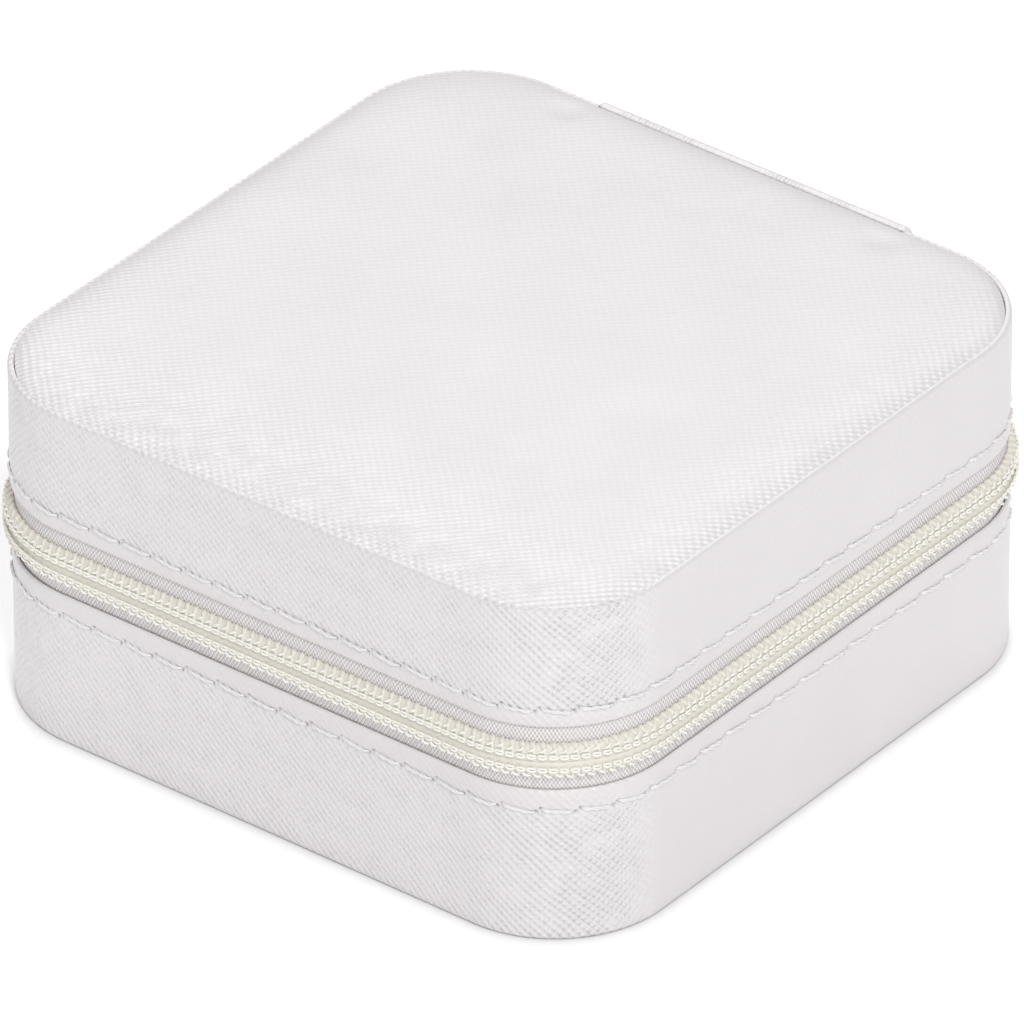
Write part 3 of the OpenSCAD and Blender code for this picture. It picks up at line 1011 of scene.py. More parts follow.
CHAIN_GAP = PATCH_HIGH[0] + 1.7
CHAIN_START = BACK_MIDDLE + CHAIN_GAP
CHAIN_TURNS = int((ROUND - 2 * CHAIN_GAP) / CHAIN_PITCH)
TURN_POINTS = 16
COIL_R = 0.34
COIL_BEND_R = 0.06
COIL_BACK = -0.3
COIL_MIDDLE = 1.27
COIL_REACH = 0.92

# The core's section, as (distance outwards, height over the middle of the zip).
CORE_SECTION = [
    (0.0, 0.0), (0.4, 0.0), (0.43, 0.03), (0.44, 0.1), (0.47, 0.25), (0.52, 0.5), (0.62, 0.8), (0.68, 1.1),
    (0.7, 1.4), (0.55, 1.75), (0.3, 2.05), (0.0, 2.25), (-0.3, 2.35), (-0.45, 2.2), (-0.45, 0.2),
]
CORE_SHORTER = 0.3

SEAM_HEIGHT = 0.98
SEAM_RISE = 0.95
SEAM_THREAD_R = 0.16
RING_LENGTH = 0.52
RING_WIDTH = 0.23
RING_LEAN = 0.07
BAR_HEIGHT = 1.84
BAR_RISE = 0.9
BAR_LENGTH = 0.38
BAR_SLANT = 0.2
BAR_THREAD_R = 0.17
BAR_UNEVEN_RISE = 0.06
BAR_UNEVEN_HEIGHT = 0.07


def make_tapes():
    inset, height = np.array(TAPE_SECTION).T
    for name, body in (("base_tape", "base"), ("lid_tape", "lid")):
        low, high = limits(name)
        scaled = height * (high[2] - low[2]) / TAPE_HEIGHT
        section, z = (inset, low[2] + scaled) if body == "base" else (inset[::-1], high[2] - scaled[::-1])
        piece = band(name, beside_hinge(TAPE_GAP, 0.6), section, z, TAPE, whole=False)
        join(piece, body)


def coil_front(reach):
    """How far out a turn of the coil lies: reach is -1 at its head and 1 at its outer bend."""
    return 0.24 + 0.26 * bell(reach - 0.15, 0.5) - 0.2 * np.maximum(reach - 0.3, 0) / 0.7


def make_coil(name, body, side, phase):
    """One half of the coil: a flattened spiral that is thicker at its outer bends."""
    t = np.arange(CHAIN_TURNS * TURN_POINTS) / TURN_POINTS
    reach, facing = np.cos(TAU * t), np.sin(TAU * t)
    z = ZIP_MIDDLE + side * (COIL_MIDDLE + COIL_REACH * squared(reach, 0.8))
    to_front = 0.5 + 0.5 * squared(facing, 0.6)
    u = COIL_BACK + (coil_front(reach) - COIL_BACK) * to_front
    coil = np.stack([CHAIN_START + (t + phase) * CHAIN_PITCH, u, z], axis=1)
    radius = COIL_R + COIL_BEND_R * np.clip(reach + 0.4, 0, 1)
    points, faces = tube(coil, radius, 8)
    join(make(name, wrap(points), faces, COIL), body)


def make_core(name, body, side):
    """The cord inside the coil."""
    section = np.array(CORE_SECTION)[::side]
    z = ZIP_MIDDLE + side * section[:, 1]
    s = beside_hinge(CHAIN_GAP + CORE_SHORTER, 0.6)
    join(band(name, s, -section[:, 0], z, COIL, whole=False), body)


def seam_ring():
    """One loop of the chain stitch that sews the coil to its tape, lying along x with y outwards."""
    t = np.linspace(0, TAU, 19)[:-1]
    out = SEAM_RISE - 0.16 * np.cos(t) ** 2 - 0.06 * np.cos(t)
    across = RING_WIDTH * np.sin(t) - RING_LEAN * np.cos(t)
    return tube(np.stack([RING_LENGTH * np.cos(t), out, across], axis=1), SEAM_THREAD_R, 6, closed=True)


def seam_bar(side, lift, shift):
    """A loop of the needle thread over the outer bend of one turn of the coil."""
    t = np.linspace(-1, 1, 9)
    out = BAR_RISE + lift - 0.26 * t**2 - 0.08 * t
    across = BAR_HEIGHT + shift + BAR_SLANT * t
    return tube(np.stack([BAR_LENGTH * t, out, side * across], axis=1), BAR_THREAD_R, 6)


def make_seam(name, body, side, phase):
    ring_points, ring_faces = seam_ring()
    row = ZIP_MIDDLE + side * SEAM_HEIGHT
    parts = []
    for i in range(CHAIN_TURNS):
        lift = BAR_UNEVEN_RISE * math.sin(2.1 * i)
        shift = BAR_UNEVEN_HEIGHT * math.sin(3.3 * i + 1)
        bar_points, bar_faces = seam_bar(side, lift, shift)
        parts.append((ring_points + [CHAIN_START + (i + 0.5) * CHAIN_PITCH, 0.0, row], ring_faces))
        parts.append((bar_points + [CHAIN_START + (i + phase) * CHAIN_PITCH, 0.0, ZIP_MIDDLE], bar_faces))
    points, faces = gather(parts)
    join(make(name, wrap(points), faces, CHAIN_THREAD), body)


def make_chain():
    """Both halves of the zip's coil, half a turn apart, with their cores and seams."""
    for name, body, side, phase in (("base_coil", "base", -1, 0.0), ("lid_coil", "lid", 1, 0.5)):
        make_coil(name, body, side, phase)
        make_core(name + "_core", body, side)
        make_seam(name + "_seam", body, side, phase)


STOP_LENGTH = 1.4
STOP_MARGIN = 0.1
STOP_STEP = 0.15
STOP_EDGE = 0.3
PINCH_DEPTH = 0.28
PINCH_WIDTH = 0.22


def make_stops():
    """The clamps at the ends of the zip, each pinched in its middle."""
    for name, body in (("base_zip_stops", "base"), ("lid_zip_stops", "lid")):
        low, high = limits(name)
        columns = spaced(-STOP_LENGTH / 2, STOP_LENGTH / 2, STOP_STEP, STOP_EDGE)
        rows = spaced(low[2], high[2], STOP_STEP, STOP_EDGE)
        middle_y = (high[1] + low[1]) / 2
        dome = domed((high[1] - low[1]) / 2 + STOP_MARGIN, 0.4)

        def face(u, v, d, dome=dome):
            return dome(u, v, d) - PINCH_DEPTH * bell(u, PINCH_WIDTH) * np.minimum(d / STOP_EDGE, 1)

        def place(u, v, n, middle_y=middle_y):
            return np.stack([u, middle_y + n, v], axis=-1)

        points, faces, _ = sheet_grid(columns, rows, STOP_EDGE, face, below(face), place)
        middles = (low[0] + STOP_LENGTH / 2, high[0] - STOP_LENGTH / 2)
        parts = [(points + [x, 0, 0], faces) for x in middles]
        join(make(name, *gather(parts), METAL, outwards=True), body)


# ---- hinge

LID_LOW = limits("lid_cover")[0][2]
PATCH_EDGE = 2.4
PATCH_PRESS = 0.7
PATCH_RISE = 0.3
PATCH_TUCK = 0.3
TUCK_LENGTH = 0.05
LIP_LEAN = -0.75
LIP_LEAN_LENGTH = 0.9
LIP_BACK_LEAN = -0.2
LIP_FOLD_LENGTH = 0.12
SEAM_DEPTH = 0.12
SEAM_WIDTH = 0.4
PATCH_SWELL = 0.05
PATCH_CORNER = 1.6
GUSSET_LAP = 3.0
GUSSET_RIPPLE = 0.06


def on_back(surface_y):
    """Places u and v as x and z on an upright face at the back, with the height towards the rear."""
    return lambda u, v, n: np.stack([-u, surface_y + n, v], axis=-1)


def across_zip(piece):
    """Bakes a piece's place into its mesh and hides its CAD node. It is put on neither half of the box."""
    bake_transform(piece)
    stand_in(piece)


def make_patch():
    """The leather patch outside: its top edge leans over the rim and is tucked down behind it."""
    low, high = PATCH_LOW, PATCH_HIGH
    top = high[2] + PATCH_RISE
    rows = spaced(low[2], top, 0.8, 0.6)
    columns = spaced(low[0], high[0], 1.2, 0.6)
    dome = domed(high[1] - low[1], 0.45)

    def place(u, v, n):
        return on_back(low[1])(u, v - PATCH_TUCK * bell(top - v, TUCK_LENGTH), n)

    def outside(u, v, d):
        seam = SEAM_DEPTH * bell(d - PATCH_EDGE, SEAM_WIDTH) * (d > 0.5)
        swell = PATCH_SWELL * np.sin(0.31 * u + 0.7) * np.sin(0.23 * v) * np.minimum(d / 2, 1)
        lip = LIP_BACK_LEAN * bell(top - v, LIP_LEAN_LENGTH) + LIP_LEAN * bell(top - v, LIP_FOLD_LENGTH)
        return dome(u, v, d) - seam + swell + lip

    def inside(u, v, d):
        return LIP_LEAN * bell(top - v, LIP_LEAN_LENGTH)

    points, faces, grain = sheet_grid(columns, rows, PATCH_CORNER, outside, inside, place)
    grain = np.column_stack([grain, np.full(len(grain), PATCH_PRESS)])
    patch = make("hinge_patch", points, faces, COVER, grain, outwards=True)
    across_zip(patch)


def make_gusset():
    """The velvet strip inside, glued to both linings."""
    low, high = limits("hinge_gusset")
    rows = spaced(low[2] - GUSSET_LAP, high[2] + GUSSET_LAP, 0.4, 0.3)
    columns = spaced(low[0], high[0], 1.2, 0.3)
    dome = domed(high[1] - low[1], 0.3)

    def inside(u, v, d):
        return GUSSET_RIPPLE * np.sin(1.9 * u) * np.minimum(d, 1) - dome(u, v, d)

    points, faces, grain = sheet_grid(columns, rows, 0.8, inside, level, on_back(high[1]))
    gusset = make("hinge_gusset", points, faces, LINING, grain, outwards=True)
    across_zip(gusset)


def make_patch_stitches():
    x = PATCH_HIGH[0] - PATCH_EDGE
    surface = PATCH_HIGH[1] - SEAM_DEPTH
    for name, body, near, far in (
        ("patch_stitches_base", "base", COVER_HIGH[2] - 1, PATCH_LOW[2] + PATCH_EDGE),
        ("patch_stitches_lid", "lid", LID_LOW + 1, PATCH_HIGH[2] - PATCH_EDGE),
    ):
        lines = [((-x, near), (-x, far)), ((x, near), (x, far)), ((-x, far), (x, far))]
        patch_stitches(name, lines, surface, body)


# ---- lining

LINER_THICKNESS = 1.0
LINER_OVER = [(0.0, -0.5), (0.12, -0.14), (0.35, 0.0), (0.65, 0.0), (0.88, -0.14), (1.0, -0.5)]
LINER_OUTER = HALF - limits("base_liner")[1][0]
LINER_INNER = LINER_OUTER + LINER_THICKNESS
LINER_WAVE = 0.04
PLATE_EDGE = [(20, 0.0), (4, 0.0), (0.2, 0.0), (0.02, 0.1)]
CARD_EDGE = 0.9


def wall_liner(name, body, far, rim, sign, knee, wavy_from):
    """Velvet on the inside walls, rounded over at the rim. knee and wavy_from are heights on it."""
    s = around(1.2)
    wave = LINER_WAVE * np.sin(31 * TAU * s / ROUND)[:, None]
    over = [(LINER_OUTER + inset, height) for inset, height in LINER_OVER]
    section = [(LINER_OUTER, far)] + raised(over, rim, sign) + [(LINER_INNER, knee), (LINER_INNER, far)]
    inset, z = np.array(section).T
    wavy = (z - wavy_from) * sign > 0
    join(band(name, s, inset + wave * wavy, z, LINING), body)


def make_wall_liners():
    low, high = limits("base_liner")
    wall_liner("base_liner", "base", far=low[2], rim=high[2], sign=1, knee=14.0, wavy_from=20.0)
    low, high = limits("lid_liner")
    wall_liner("lid_liner", "lid", far=high[2], rim=low[2], sign=-1, knee=40.0, wavy_from=33.0)


def make_flat_liners():
    """Velvet on the floor and on the ceiling."""
    for name, body in (("floor_liner", "base"), ("ceiling_liner", "lid")):
        low, high = limits(name)
        edge = HALF - high[0]
        middle = (HALF - edge - MIDDLE_GAP, 0.0)
        steps, heights = np.array([middle] + PLATE_EDGE).T
        inset = edge + np.concatenate([steps, steps[::-1]])
        z = np.concatenate([low[2] + heights, high[2] - heights[::-1]])
        join(disc(name, around(2.0), inset, z, LINING), body)


def upright(name, body, along_x):
    """A card wrapped in velvet, standing on its edge, with a full round along its top and ends."""
    low, high = limits(name)
    middle = (low + high) / 2
    length, thickness = (high - low)[:2] if along_x else (high - low)[1::-1]
    columns = spaced(-length / 2, length / 2, 2.0, 1.0)
    rows = spaced(low[2], high[2], 1.5, 1.0)
    dome = domed(thickness / 2, CARD_EDGE)

    def place(u, v, n):
        if along_x:
            return np.stack([middle[0] + u, middle[1] - n, v], axis=-1)
        return np.stack([middle[0] + n, middle[1] + u, v], axis=-1)

    points, faces, grain = sheet_grid(columns, rows, CARD_EDGE, dome, below(dome), place)
    join(make(name, points, faces, LINING, grain, outwards=True), body)


def make_dividers():
    upright("partition", "base", along_x=False)
    upright("divider_front", "divider_a", along_x=True)
    upright("divider_rear", "divider_b", along_x=True)


# ---- ring rolls

CLOTH_SCALE = 10.0
CLOTH_FRAMES = 20
PRESSURE = 4.0
SLACK = 0.07


def filled(points, faces, sewn, cap):
    """Points of soft covers that a cloth simulation has filled out, at CLOTH_SCALE times their real size.

    sewn says which points stay where they are. No other point moves further than cap.
    """
    mesh = bpy.data.meshes.new("filled")
    mesh.from_pydata((points * MM * CLOTH_SCALE).tolist(), [], faces)
    soft = bpy.data.objects.new("filled", mesh)
    bpy.context.collection.objects.link(soft)
    group = soft.vertex_groups.new(name="sewn")
    group.add(np.flatnonzero(sewn).tolist(), 1.0, "REPLACE")
    settings = soft.modifiers.new("cloth", "CLOTH").settings
    settings.vertex_group_mass = group.name
    settings.use_pressure = True
    settings.uniform_pressure_force = PRESSURE
    settings.shrink_min = -SLACK
    settings.effector_weights.gravity = 0.0
    scene = bpy.context.scene
    for number in range(1, CLOTH_FRAMES + 1):
        scene.frame_set(number)
    shaped = soft.evaluated_get(bpy.context.evaluated_depsgraph_get()).data
    after = np.empty(points.size, np.float32)
    shaped.vertices.foreach_get("co", after)
    bpy.data.objects.remove(soft)
    bpy.data.meshes.remove(mesh)
    scene.frame_set(1)
    move = after.reshape(-1, 3) / (MM * CLOTH_SCALE) - points
    far = np.maximum(np.linalg.norm(move, axis=1), MM)[:, None]
    return points + move / far * cap * np.tanh(far / cap)


ROLL_COUNT = 7
ROLL_CAP = 0.9
ROLL_CUT = 0.8
ROLL_SHORTER = 0.35
ROLL_LOWER = 0.1
ROLL_ROUND_Y = 0.82
ROLL_ROUND_Z = 0.92
ROLL_TOUCH = 0.03
ROLL_END_STEPS = np.array([0.0, 0.02, 0.08, 0.2, 0.4, 0.7, 1.1])
ROLL_END_SIZES = np.array([0.55, 0.8, 0.9, 0.95, 0.98, 0.995, 1.0])
SEWN_RINGS = 4
PARTITION_GAP = 0.1
WALL_GAP = 0.15
WALL_MARGIN = 0.3
LINED_WALL = 3.8
INNER_CORNER = CORNER - LINED_WALL
INNER_WALL = HALF - LINED_WALL

# Points round a roll, and those of them that are glued down below.
ROLL_SIDES = 48
ROLL_GLUED = slice(32, 41)


def wall_x(y):
    """Where the left inside wall is at a distance y from the middle."""
    past = np.maximum(np.abs(y) - SIDE / 2, 0)
    return -SIDE / 2 - np.sqrt(np.maximum(INNER_CORNER**2 - past**2, 0))


def roll_cover(y_middle, half_y, low, high):
    """Points of one roll's cover before it is filled, ring by ring from the wall to the partition."""
    angle = np.arange(ROLL_SIDES) * TAU / ROLL_SIDES
    round_y = squared(np.cos(angle), ROLL_ROUND_Y)
    round_z = squared(np.sin(angle), ROLL_ROUND_Z)
    half_z = (high[2] - low[2]) / 2 - ROLL_SHORTER
    middle_z = (high[2] + low[2]) / 2 - ROLL_LOWER
    end = ROLL_END_STEPS[-1]
    rings = [(0.0, step, size) for step, size in zip(ROLL_END_STEPS, ROLL_END_SIZES)]
    rings += [(t, end * (1 - 2 * t), 1.0) for t in np.linspace(0, 1, 47)[1:-1]]
    rings += [(1.0, -step, size) for step, size in zip(ROLL_END_STEPS[::-1], ROLL_END_SIZES[::-1])]
    points = []
    for t, step, size in rings:
        y = y_middle + half_y * size * round_y
        left = wall_x(np.clip(y, WALL_MARGIN - INNER_WALL, INNER_WALL - WALL_MARGIN)) + WALL_GAP
        x = left + (high[0] - PARTITION_GAP - left) * t + step
        points.append(np.stack([x, y, middle_z + half_z * size * round_z], axis=1))
    return np.array(points)


def make_rolls():
    """Velvet rolls that hold rings between them: sewn at their ends, glued below, flat where they meet."""
    low, high = limits("ring_rolls")
    pitch = (high[1] - low[1] + ROLL_CUT) / ROLL_COUNT
    middles = (np.arange(ROLL_COUNT) + 0.5 - ROLL_COUNT / 2) * pitch
    covers = np.array([roll_cover(y, (pitch - ROLL_CUT) / 2, low, high) for y in middles])
    rings = covers.shape[1]
    faces = quads(rings, ROLL_SIDES, False, True)[0].tolist()
    last = (rings - 1) * ROLL_SIDES
    faces += [list(range(ROLL_SIDES))[::-1], list(range(last, last + ROLL_SIDES))]
    flat = covers.reshape(ROLL_COUNT, -1, 3)
    sewn = np.zeros(covers.shape[:3], bool)
    sewn[:, :SEWN_RINGS] = True
    sewn[:, -SEWN_RINGS:] = True
    sewn[:, :, ROLL_GLUED] = True
    points, all_faces = gather([(cover, faces) for cover in flat])
    soft = filled(points, all_faces, sewn.ravel(), ROLL_CAP).reshape(flat.shape)
    reach = pitch / 2 - ROLL_TOUCH
    for i, (middle, cover) in enumerate(zip(middles, soft)):
        cover[:, 1] = middle + np.clip(cover[:, 1] - middle, -reach, reach)
        piece = make(f"ring_roll_{i + 1}", cover, faces, LINING, outwards=True)
        finer = piece.modifiers.new("finer", "SUBSURF")
        finer.levels = 1
        finer.render_levels = 1
        join(piece, "base", "ring_rolls")


# ---- hook strap and hooks

STRAP_EDGE = 1.5
STRAP_STITCH = 3.0
STRAP_PITCH = 4.0
STRAP_SEAM = 0.1
HOOK_COUNT = 5
HOOK_PITCH = 13.0
HOOK_BEND = 0.9
HOOK_TIP_REACH = 0.8
HOOK_TIP_RISE = 0.9
HOOK_TIP_BACK = 0.2
HOOK_EDGE = 0.35
HOOK_ROW_LENGTH = 0.25
TOO_SHORT = 0.02


def hanging(surface_z):
    """Places u and v as x and y below a level face, with the height downwards."""
    return lambda u, v, n: np.stack([u, v, surface_z - n], axis=-1)


def make_strap():
    """The leather strap that carries the hooks, with a stitched edge."""
    low, high = limits("hook_strap")
    columns = spaced(low[0], high[0], 1.0, 0.5)
    rows = spaced(low[1], high[1], 0.6, 0.5)
    dome = domed(high[2] - low[2], 0.4)

    def face(u, v, d):
        return dome(u, v, d) - STRAP_SEAM * bell(d - STRAP_EDGE, SEAM_WIDTH)

    points, faces, grain = sheet_grid(columns, rows, 1.5, face, level, hanging(high[2]))
    piece = make("hook_strap", points, faces, COVER, grain, outwards=True)
    join(piece, "lid")


def make_strap_stitches():
    low, high = limits("hook_strap")
    points, faces = stitch(STRAP_STITCH)
    parts = []
    for y in (low[1] + STRAP_EDGE, high[1] - STRAP_EDGE):
        for x in np.arange(low[0] + STRAP_PITCH, high[0] - STRAP_STITCH, STRAP_PITCH):
            at = np.column_stack([x + points[:, 0], y + points[:, 2], low[2] + STRAP_SEAM - points[:, 1]])
            parts.append((at, faces))
    join(make("hook_strap_stitches", *gather(parts), THREAD), "lid")


def hook_line(y, top, bottom, tip_y):
    """A hook's middle line in y and z: down its stem, forwards along its foot and up at its tip."""
    turn = np.linspace(0, math.pi / 2, 7)
    line = [(y, top), (y, bottom + HOOK_BEND + 0.8), (y, bottom + HOOK_BEND + 0.4)]
    line += [(y - HOOK_BEND * (1 - math.cos(a)), bottom + HOOK_BEND * (1 - math.sin(a))) for a in turn]
    line += [(y - HOOK_BEND - 0.8, bottom), (tip_y + 1.0, bottom)]
    tip_middle = tip_y - HOOK_TIP_BACK
    for a in turn[::-1][1:]:
        line.append((tip_middle + HOOK_TIP_REACH * math.cos(a), bottom + HOOK_TIP_RISE * (1 - math.sin(a))))
    line = np.array(line)
    apart = np.linalg.norm(np.diff(line, axis=0), axis=1) > TOO_SHORT
    return line[np.concatenate([[True], apart])]


def make_hooks():
    """Necklace hooks: one bent strip each, with its tip turned up and its edges rounded."""
    stem_low, stem_high = limits("hook_stems")
    lip_low, lip_high = limits("hook_lips")
    half_t = (stem_high[1] - stem_low[1]) / 2
    y = (stem_high[1] + stem_low[1]) / 2
    line = hook_line(y, stem_high[2], (lip_low[2] + lip_high[2]) / 2, lip_low[1] + half_t)
    ahead = np.gradient(line, axis=0)
    ahead /= np.linalg.norm(ahead, axis=1)[:, None]
    across = np.stack([-ahead[:, 1], ahead[:, 0]], axis=1)
    width = lip_high[0] - lip_low[0] - (HOOK_COUNT - 1) * HOOK_PITCH
    columns = spaced(-width / 2, width / 2, 0.8, 0.4)
    rows = np.arange(len(line), dtype=float)
    dome = domed(half_t, HOOK_EDGE)

    def place(u, v, n):
        row = v.astype(int)
        at = line[row] + across[row] * n[..., None]
        return np.concatenate([u[..., None], at], axis=-1)

    def face(u, v, d):
        from_side = width / 2 - np.abs(u)
        from_end = np.minimum(v, len(line) - 1 - v) * HOOK_ROW_LENGTH
        return dome(u, v, np.minimum(from_side, from_end))

    points, faces, _ = sheet_grid(columns, rows, 0.001, face, below(face), place)
    for i in range(HOOK_COUNT):
        x = (i - (HOOK_COUNT - 1) / 2) * HOOK_PITCH
        hook = make(f"hook_{i + 1}", points + [x, 0, 0], faces, METAL, outwards=True)
        join(hook, "lid", "hook_stems", "hook_lips")


# ---- pocket

POCKET_PLEAT = 3.4
POCKET_STEP = 0.34
POCKET_HALF_T = 0.22
POCKET_ABOVE = 0.6
POCKET_BELOW = 0.8
POCKET_BESIDE = 0.7
POCKET_BELLY = 0.9
MOUTH_PLEATS = 0.62
FOOT_PLEATS = 0.14
LEAST_PLEATS = 0.16
RUCK_DEPTH = 0.34
FINE_RUCK_DEPTH = 0.08
FINE_RUCK_PITCH = 0.85
ELASTIC_HALF_T = 0.55
BINDING_WIDTH = 2.4
BINDING_LAP = 0.5


def pleating(u, shift=0.0):
    """Pleats of uneven width across u, from -1 to 1."""
    return np.sin(TAU * (u + shift) / POCKET_PLEAT + 0.7 * np.sin(0.35 * u))


def make_pocket_panel():
    """The velvet, gathered at its mouth and a little at its foot, with a full belly."""
    low, high = limits("pocket_panel")
    columns = spaced(low[0] + POCKET_BESIDE, high[0] - POCKET_BESIDE, POCKET_STEP, 0.5)
    rows = spaced(low[1] - POCKET_ABOVE, high[1] - POCKET_BELOW, 0.8, 0.5)
    middle = (high[0] + low[0]) / 2
    width, depth = (high - low)[:2]

    def drape(u, v):
        down = (v - low[1]) / depth
        pleats = pleating(u, 1.1 * np.sin(0.17 * v + 0.09 * u))
        share = LEAST_PLEATS + MOUTH_PLEATS * np.exp(-2.6 * down) + FOOT_PLEATS * np.exp(-8 * (1 - down))
        side = np.clip((width / 2 - np.abs(u - middle)) / 3.0, 0, 1)
        fullness = np.sin(math.pi * np.clip(down, 0, 1)) * np.cos(math.pi * (u - middle) / width)
        return POCKET_BELLY * fullness + pleats * share * side

    def face(sign):
        return lambda u, v, d: drape(u, v) + sign * POCKET_HALF_T * np.minimum(d / 0.25, 1)

    points, faces, _ = sheet_grid(columns, rows, 0.5, face(1), face(-1), hanging(high[2] - 0.4))
    return join(make("pocket_panel", points, faces, LINING, outwards=True), "lid")


def make_pocket_elastic():
    """The elastic mouth, rucked in time with the pleats."""
    low, high = limits("pocket_elastic")
    columns = spaced(low[0], high[0], POCKET_STEP, 0.4)
    rows = spaced(low[1] - 0.2, high[1] + 0.1, 0.3, 0.4)
    dome = domed(ELASTIC_HALF_T, 0.5)

    def face(sign):
        def height(u, v, d):
            fine = FINE_RUCK_DEPTH * np.sin(TAU * u / FINE_RUCK_PITCH) * np.minimum(d / 0.5, 1)
            return RUCK_DEPTH * pleating(u) + fine + sign * dome(u, v, d)
        return height

    place = hanging((low[2] + high[2]) / 2)
    points, faces, grain = sheet_grid(columns, rows, 0.4, face(1), face(-1), place)
    elastic = make("pocket_elastic", points, faces, ELASTIC, grain, outwards=True)
    return join(elastic, "lid")


def make_pocket_binding():
    """Leather strips along the pocket's two sides and its foot."""
    low, high = limits("pocket_binding")
    front_z = limits("pocket_panel")[0][2] - BINDING_LAP
    half_t = (high[2] - front_z) / 2
    dome = domed(half_t, 0.8)
    inner = BINDING_WIDTH * 0.6
    strips = [
        ((low[0], low[1]), (low[0] + BINDING_WIDTH, high[1])),
        ((high[0] - BINDING_WIDTH, low[1]), (high[0], high[1])),
        ((low[0] + inner, high[1] - BINDING_WIDTH), (high[0] - inner, high[1])),
    ]
    parts, grains = [], []
    for (x_low, y_low), (x_high, y_high) in strips:
        columns = spaced(x_low, x_high, 1.5, 0.6)
        rows = spaced(y_low, y_high, 1.5, 0.6)
        points, faces, grain = sheet_grid(columns, rows, 0.5, dome, below(dome), hanging(front_z + half_t))
        parts.append((points, faces))
        grains.append(grain)
    binding = make("pocket_binding", *gather(parts), COVER, np.vstack(grains), outwards=True)
    return join(binding, "lid")


def make_pocket():
    """A gathered velvet pocket with an elastic mouth and a leather binding on its other three sides."""
    panel = make_pocket_panel()
    elastic = make_pocket_elastic()
    binding = make_pocket_binding()


# ---- metal

def cast(node, voxel, passes, body):
    """A CAD node's shape in metal, with a casting's soft edges: rebuilt in small voxels and smoothed."""
    mesh = bpy.data.objects[node].data.copy()
    mesh.materials.clear()
    piece = bpy.data.objects.new(node + DETAIL, mesh)
    bpy.context.collection.objects.link(piece)
    remesh = piece.modifiers.new("remesh", "REMESH")
    remesh.mode = "VOXEL"
    remesh.voxel_size = voxel * MM
    soften = piece.modifiers.new("soften", "SMOOTH")
    soften.factor = 0.5
    soften.iterations = passes
    bpy.context.view_layer.update()
    shaped = bpy.data.meshes.new_from_object(piece.evaluated_get(bpy.context.evaluated_depsgraph_get()))
    piece.modifiers.clear()
    piece.data = shaped
    shaped.polygons.foreach_set("use_smooth", [True] * len(shaped.polygons))
    shaped.materials.clear()
    shaped.materials.append(METAL)
    join(piece, body)


# ---- leather pull

TAB_LOW, TAB_HIGH = limits("pull_tab")
TAB_X, TAB_Y = ((TAB_LOW + TAB_HIGH) / 2)[:2]
TAB_LOOP = (TAB_HIGH[0] - TAB_LOW[0]) / 2
TAB_WIDTH = TAB_HIGH[1] - TAB_LOW[1]
TAB_LENGTH = TAB_HIGH[2] - TAB_LOW[2]
TAB_HALF_T = 0.8
TAB_NECK = 3.8
TAB_NECK_END = 2.3
TAB_SHOULDER = 1.3
TAB_EDGE = 0.35
TAB_SEAM = 1.1
TAB_SEAM_DEPTH = 0.13
TAB_SEAM_WIDTH = 0.35
TAB_SEAM_START = 4.2
TAB_STITCH = 1.9
TAB_STITCH_PITCH = 2.2
TAB_STITCH_SINK = 0.12
TAB_FOOT_STITCHES = (-1.15, 1.15)


def tab_half_thickness(v):
    """Round over the link's bar, and flat below it."""
    loop = np.sqrt(np.maximum(TAB_LOOP**2 - (v - TAB_LOOP) ** 2, 0))
    return np.where(v < TAB_LOOP, loop, np.maximum(loop, TAB_HALF_T))


def tab_narrowing(v):
    """The strip's width at v as a share of its full width."""
    share = np.clip((v - TAB_NECK_END) / TAB_SHOULDER, 0, 1)
    share = share * share * (3 - 2 * share)
    return (TAB_NECK + (TAB_WIDTH - TAB_NECK) * share) / TAB_WIDTH


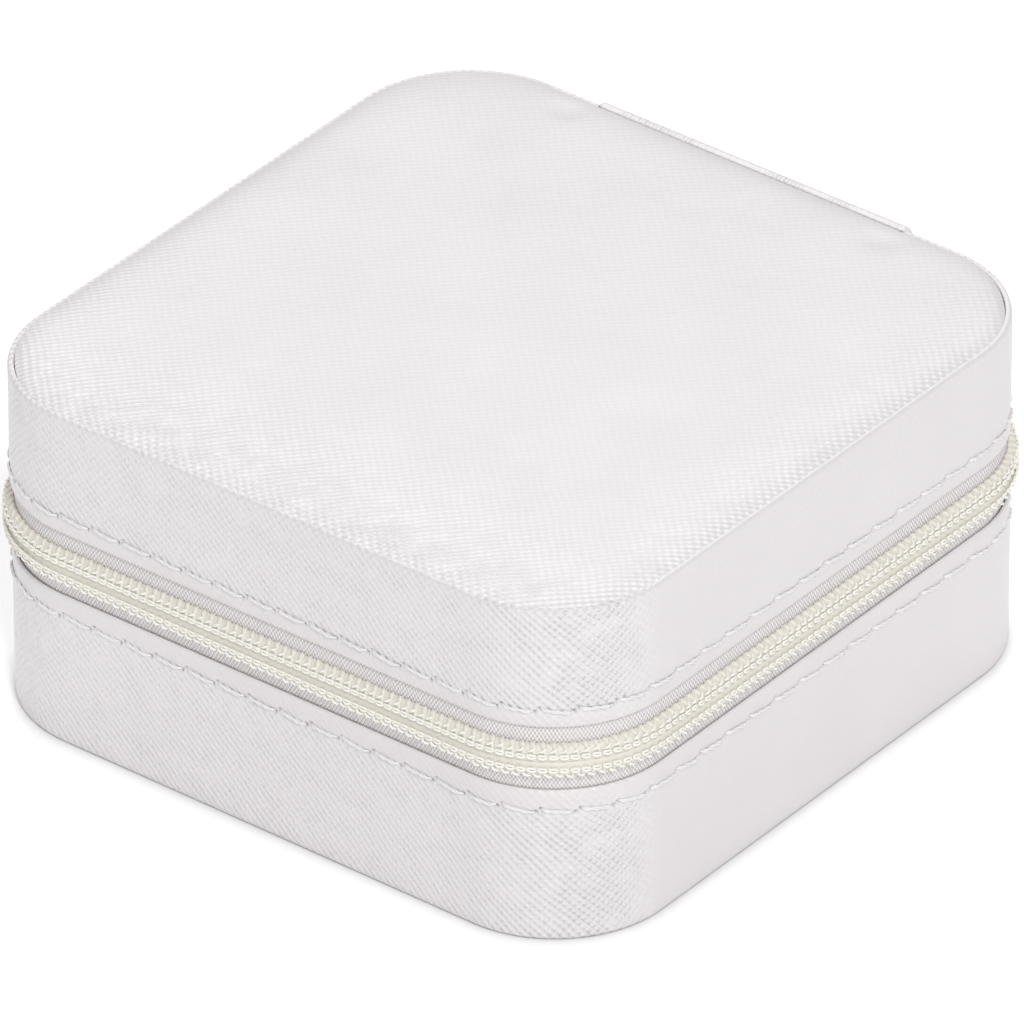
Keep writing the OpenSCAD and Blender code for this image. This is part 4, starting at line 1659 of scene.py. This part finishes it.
def make_tab():
    """The leather pull: a strip folded round the link's bar, with its two layers pressed together."""
    columns = spaced(-TAB_WIDTH / 2, TAB_WIDTH / 2, 0.4, 0.5)
    loop_rows = np.linspace(0, 2 * TAB_LOOP, 15)[:-1]
    rows = np.concatenate([loop_rows, spaced(2 * TAB_LOOP, TAB_LENGTH, 0.4, 0.5)])

    def face(u, v, d):
        from_edge = np.minimum(TAB_WIDTH / 2 - np.abs(u), TAB_LENGTH - v) / TAB_EDGE
        round_edge = np.sqrt(1 - (1 - np.clip(from_edge, 0, 1)) ** 2)
        seam = TAB_SEAM_DEPTH * bell(d - TAB_SEAM, TAB_SEAM_WIDTH) * (v > TAB_SEAM_START)
        return tab_half_thickness(v) * round_edge - seam

    def place(u, v, n):
        return np.stack([TAB_X - n, TAB_Y - u * tab_narrowing(v), TAB_HIGH[2] - v], axis=-1)

    points, faces, grain = sheet_grid(columns, rows, PATCH_CORNER, face, below(face), place)
    join(make("pull_tab", points, faces, COVER, grain, outwards=True), "tab")


def make_tab_stitches():
    """Stitches on both faces of the pull: up its sides and along its foot."""
    points, faces = stitch(TAB_STITCH, 0.0)
    along, out, sideways = points.T
    inner = TAB_WIDTH / 2 - TAB_SEAM
    bottom = TAB_LOW[2] + TAB_SEAM
    heights = np.arange(bottom + 1.6, TAB_HIGH[2] - 4.4, TAB_STITCH_PITCH)
    places = [(side * inner + sideways, z + along) for side in (-1, 1) for z in heights]
    places += [(across + along, bottom + sideways) for across in TAB_FOOT_STITCHES]
    parts = []
    for across, z in places:
        for side in (1, -1):
            x = TAB_X - side * (TAB_HALF_T - TAB_STITCH_SINK + out)
            parts.append((np.column_stack([x, TAB_Y - across, z]), faces))
    join(make("pull_tab_stitches", *gather(parts), THREAD), "tab")


# ---- CAD nodes that show as they are

NODE_MATERIALS = {
    "base_board": BOARD,
    "floor_board": BOARD,
    "top_board": BOARD,
    "lid_board": BOARD,
    "top_foam": FOAM,
    "ring_roll_bed": LINING,
}


def dress_frame():
    for node, material in NODE_MATERIALS.items():
        for slot in bpy.data.objects[node].material_slots:
            slot.material = material


# ---- all of it

make_camera()
make_studio()
make_floor()
make_covers()
make_bottom()
make_top()
stitch_row("base_stitches", COVER_HIGH[2] - STITCH_EDGE, "base")
stitch_row("lid_stitches", LID_LOW + STITCH_EDGE, "lid")
make_tapes()
make_chain()
make_stops()
make_patch()
make_gusset()
make_patch_stitches()
make_wall_liners()
make_flat_liners()
make_dividers()
make_rolls()
make_strap()
make_strap_stitches()
make_hooks()
make_pocket()
cast("slider_body", 0.1, 3, "slider")
cast("pull_link", 0.07, 4, "link")
make_tab()
make_tab_stitches()
dress_frame()
